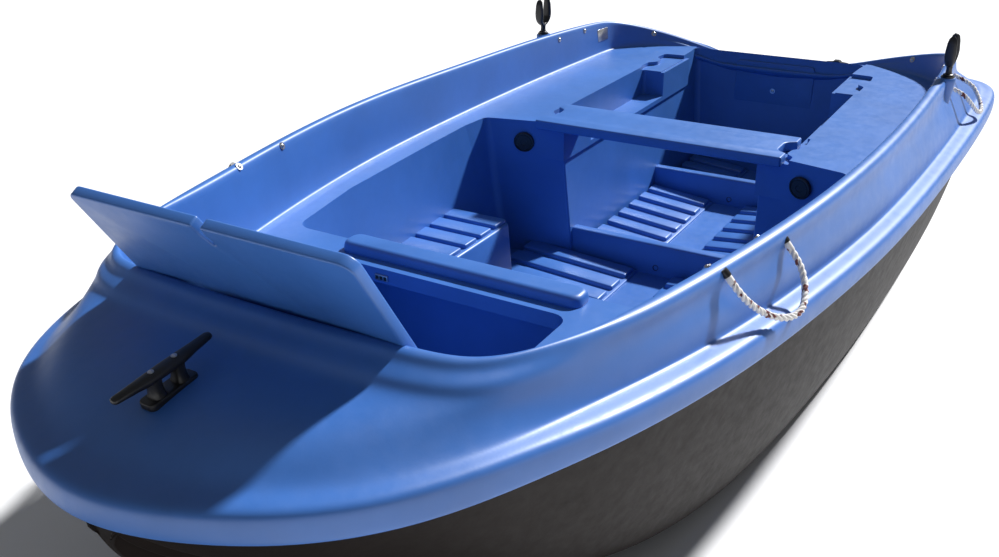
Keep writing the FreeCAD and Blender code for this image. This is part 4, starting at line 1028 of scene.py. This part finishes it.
# %% Bolt tree
def bolt_tree():
    """Puts a washer with a domed head on each point, facing along its attribute."""
    tree, given, identifiers = new_modifier_tree("bolt_heads", radius="Float", finish="Material")
    washer = add_node(tree, "GeometryNodeMeshCylinder", {"Vertices": 28, "Depth": 0.003})
    dome = add_node(tree, "GeometryNodeMeshUVSphere", {"Segments": 24, "Rings": 12})
    small = add_node(tree, "ShaderNodeMath", {1: 0.62}, operation="MULTIPLY")
    press = add_node(tree, "GeometryNodeTransform", {"Scale": (1.0, 1.0, 0.6), "Translation": (0.0, 0.0, 0.0012)})
    together = tree.nodes.new("GeometryNodeJoinGeometry")
    facing = add_node(tree, "GeometryNodeInputNamedAttribute", {"Name": "facing"}, data_type="FLOAT_VECTOR")
    align = add_node(tree, "FunctionNodeAlignRotationToVector", axis="Z")
    wire(tree, (given["Radius"], washer, "Radius"), (given["Radius"], small, 0),
        (small, "Value", dome, "Radius"), (dome, "Mesh", press, "Geometry"),
        (washer, "Mesh", together, "Geometry"), (press, "Geometry", together, "Geometry"),
        (facing, "Attribute", align, "Vector"))
    copy_to_points(tree, given, given["Geometry"], together.outputs["Geometry"], align.outputs["Rotation"])
    return tree, identifiers


BOLT_TREE, BOLT_INPUTS = bolt_tree()


def bolts(name, places, radius):
    """Bolt heads at (point, way it faces)."""
    piece = mesh_piece(name, [point for point, _ in places], [])
    facing = piece.data.attributes.new("facing", "FLOAT_VECTOR", "POINT")
    for index, (_, way) in enumerate(places):
        facing.data[index].vector = way
    run_tree(piece, BOLT_TREE, BOLT_INPUTS, radius=radius, finish=steel)
    smooth(piece, 40)
    dress(piece, "boat", "steel")
    print(name, len(places), "bolts", len(piece.data.polygons), "faces")
    return piece


# %% Places on the deck
from mathutils.bvhtree import BVHTree
graph = bpy.context.evaluated_depsgraph_get()
graph.update()
deck_surface = BVHTree.FromObject(deck, graph)


def on_deck(start, way):
    """Where a ray first meets the deck moulding, and the way the surface faces there."""
    point, normal = deck_surface.ray_cast(Vector(start), Vector(way).normalized())[:2]
    if normal.dot(Vector(way)) > 0.0:
        normal = -normal
    return point, normal


inner_places = []
for x, z in ((0.688, 0.636), (0.53, 0.63), (-0.846, 0.588), (-1.012, 0.586)):
    for sign in (1.0, -1.0):
        inner_places.append(on_deck((x, 0.0, z - 0.004), (0.0, sign, 0.0)))
bolts("handle_bolt_heads", inner_places, 0.008)
CLEAT_SCREW = 0.0418  # height of the bar's top over the deck
up_cleat = to_deck.to_3x3() @ Vector((0.0, 0.0, 1.0))
bolts("cleat_screws", [(to_deck @ Vector((place, 0.0, CLEAT_SCREW)), up_cleat) for place in (-0.02, 0.02)],
    0.0042)
quarter_places = [on_deck((-1.2, 0.35 * sign, 0.529), (-0.118, 0.098 * sign, 0.0)) for sign in (1.0, -1.0)]
bolts("quarter_bolt_heads", quarter_places, 0.009)

# %% Motor pads
for name, x, way, node in (("inner", -1.3365, 1.0, "motor_pad_inner"), ("outer", -1.3975, -1.0, "motor_pad_outer")):
    pad_plan = plan((108, -134, 16), (108, 134, 16), (-108, 134, 16), (-108, -134, 16))
    pad = prism("motor_pad_moulded_" + name, pad_plan, 0.0, None, 0.0085 if way > 0 else 0.0065)
    soft_edges(pad, 0.0022, 3, 60)
    pad.data.transform(Matrix.Translation((x, 0.0, 0.356)) @ Matrix.Rotation(math.radians(90.0 * way), 4, "Y"))
    tidy_normals(pad)
    dress(pad, "boat", "deck_blue", node)
bolts("motor_pad_bolt", [(Vector((-1.328, 0.0, 0.369)), Vector((1.0, 0.0, 0.0)))], 0.0085)

# %% [markdown]
# The rope handles end in eyes with slim black sleeves. A blank plate sits high on the starboard side
# near the stern, a small button stands beside the lid, and the locker's bulkhead has the lock's
# plate with three slots, whose dark insides are painted shade: thin black blocks on the plate.

# %% Rope eyes
eye_places = []
for route in ROPE_ROUTES.values():
    for near, after in ((route[0], route[1]), (route[-1], route[-2])):
        for sign in (1.0, -1.0):
            start = Vector((near[0], near[1] * sign, near[2]))
            eye_places.append((start, (Vector((after[0], after[1] * sign, after[2])) - start).normalized()))
grommets, rope_ends = [], []
for number, (point, way) in enumerate(eye_places):
    grommets.append(turned("grommet_%d" % number, [(6.4, -26), (7.2, -20), (7.2, -13), (6.2, -12.2)], point,
        way, 20))
    rope_ends.append(turned("rope_end_%d" % number, [(5.6, -16), (6.1, -11), (6.1, 1), (5, 2)], point, way, 20))
dress(joined("rope_ends", rope_ends), "boat", "rope_white")
eyes = joined("rope_eyes", grommets)
dress(eyes, "boat", "black_plastic", "handle_bolts_fore_port", "handle_bolts_fore_starboard",
    "handle_bolts_aft_port", "handle_bolts_aft_starboard")

# %% Plates and button
plate_point, plate_way = on_deck((-1.13, 0.0, 0.548), (0.0, -1.0, 0.0))
plate_along = Vector((1.0, 0.0, 0.0))
plate_along = (plate_along - plate_way * plate_along.dot(plate_way)).normalized()
plate_up = plate_way.cross(plate_along)
if plate_up.z < 0.0:
    plate_up = -plate_up
plate_matrix = Matrix((plate_along, plate_up, plate_along.cross(plate_up))).transposed().to_4x4()
blank_plate = prism("blank_plate", plan((34, -20, 3), (34, 20, 3), (-34, 20, 3), (-34, -20, 3)), -0.0015, None,
    0.0015)
soft_edges(blank_plate, 0.0005, 2, 60)
blank_plate.data.transform(Matrix.Translation(plate_point) @ plate_matrix)
tidy_normals(blank_plate)
dress(blank_plate, "boat", "steel")

button_point, button_way = on_deck((0.98, -0.428, 0.8), (0.0, 0.0, -1.0))
button = turned("lid_button", [(10, -4), (10, 1.5), (6, 2), (6, 8), (8.2, 9), (8.2, 13), (6, 15)],
    button_point, button_way, 28)
smooth(button, 40)
dress(button, "boat", "black_plastic")

lock_plate = prism("lock_plate", plan((-15, -6, 1.5), (15, -6, 1.5), (15, 6, 1.5), (-15, 6, 1.5)), -0.001,
    None, 0.0018)
soft_edges(lock_plate, 0.0005, 2, 60)
# The three slots are not cut: each is a thin black block on the plate, painted shade for the slot's dark inside.
lock_slot_shades = []
for place in (-0.0095, 0.0, 0.0095):
    lock_slot_shades.append(prism("lock_slot", [(place - 0.0033, -0.0036, 0.001), (place + 0.0033, -0.0036, 0.001),
        (place + 0.0033, 0.0036, 0.001), (place - 0.0033, 0.0036, 0.001)], 0.001, None, 0.0021))
lock_slot_shades = joined("lock_slot_shades", lock_slot_shades)
lock_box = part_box("strike_plate")
lock_middle = (Vector(lock_box[0]) + Vector(lock_box[1])) * 0.5
lock_turn = Matrix(((0, 0, 1), (1, 0, 0), (0, 1, 0))).to_4x4()
for piece in (lock_plate, lock_slot_shades):
    piece.data.transform(Matrix.Translation((lock_box[1][0], lock_middle.y, lock_middle.z)) @ lock_turn)
    tidy_normals(piece)
dress(lock_plate, "boat", "steel", "strike_plate")
dress(lock_slot_shades, "boat", "black_plastic")
print("plate at", [round(value, 3) for value in plate_point], "button at",
    [round(value, 3) for value in button_point], "lock at", [round(value, 3) for value in lock_middle])

# %% [markdown]
# ## Finishes of the fittings
# The remaining fittings have their right shape in the frame, so they only need their material.

# %% Materials for the frame's own pieces
for name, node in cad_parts.items():
    if name.startswith(("handle_bolts", "stern_bolt", "strike", "lid_hinge")):
        finish = steel
    elif name.startswith(("oarlock", "foredeck_cleat", "hatch", "transom_line", "drain")):
        finish = fitting_black
    else:
        finish = deck_blue
    node.data.materials.clear()
    node.data.materials.append(finish)

# %% [markdown]
# ## Light, floor and background
# Plain studio light: a pale world for the soft fill and one sun lamp that comes, as the light does
# in the photograph, from behind the stern. The background is white to the camera only.

# %% Floor
FLOOR_REACH = 14.0
floor = mesh_piece("studio_floor", [(-FLOOR_REACH, -FLOOR_REACH, 0), (FLOOR_REACH, -FLOOR_REACH, 0),
    (FLOOR_REACH, FLOOR_REACH, 0), (-FLOOR_REACH, FLOOR_REACH, 0)], [(0, 1, 2, 3)])
floor.data.materials.append(new_material("studio_floor", (0.88, 0.88, 0.89), 0.9)[0])

# %% World
world = bpy.data.worlds.new("studio")
bpy.context.scene.world = world
world.use_nodes = True
nodes = world.node_tree.nodes
background = nodes["Background"]
background.inputs["Color"].default_value = (0.92, 0.95, 1.0, 1.0)
background.inputs["Strength"].default_value = 0.17
white = add_node(world.node_tree, "ShaderNodeBackground", {"Color": (1.0, 1.0, 1.0, 1.0), "Strength": 1.0})
path_kind = nodes.new("ShaderNodeLightPath")
mix = nodes.new("ShaderNodeMixShader")
wire(world.node_tree, (path_kind, "Is Camera Ray", mix, "Fac"), (background, "Background", mix, 1),
    (white, "Background", mix, 2), (mix, "Shader", nodes["World Output"], "Surface"))

# %% Lamp
lamp_data = bpy.data.lights.new("key", "SUN")
lamp_data.energy = 5.9
lamp_data.angle = math.radians(4)
lamp = bpy.data.objects.new("key", lamp_data)
bpy.context.scene.collection.objects.link(lamp)
lamp.rotation_euler = Vector((0.7, -0.23, -0.675)).to_track_quat("-Z", "Y").to_euler()

bpy.context.scene.view_settings.view_transform = "Standard"
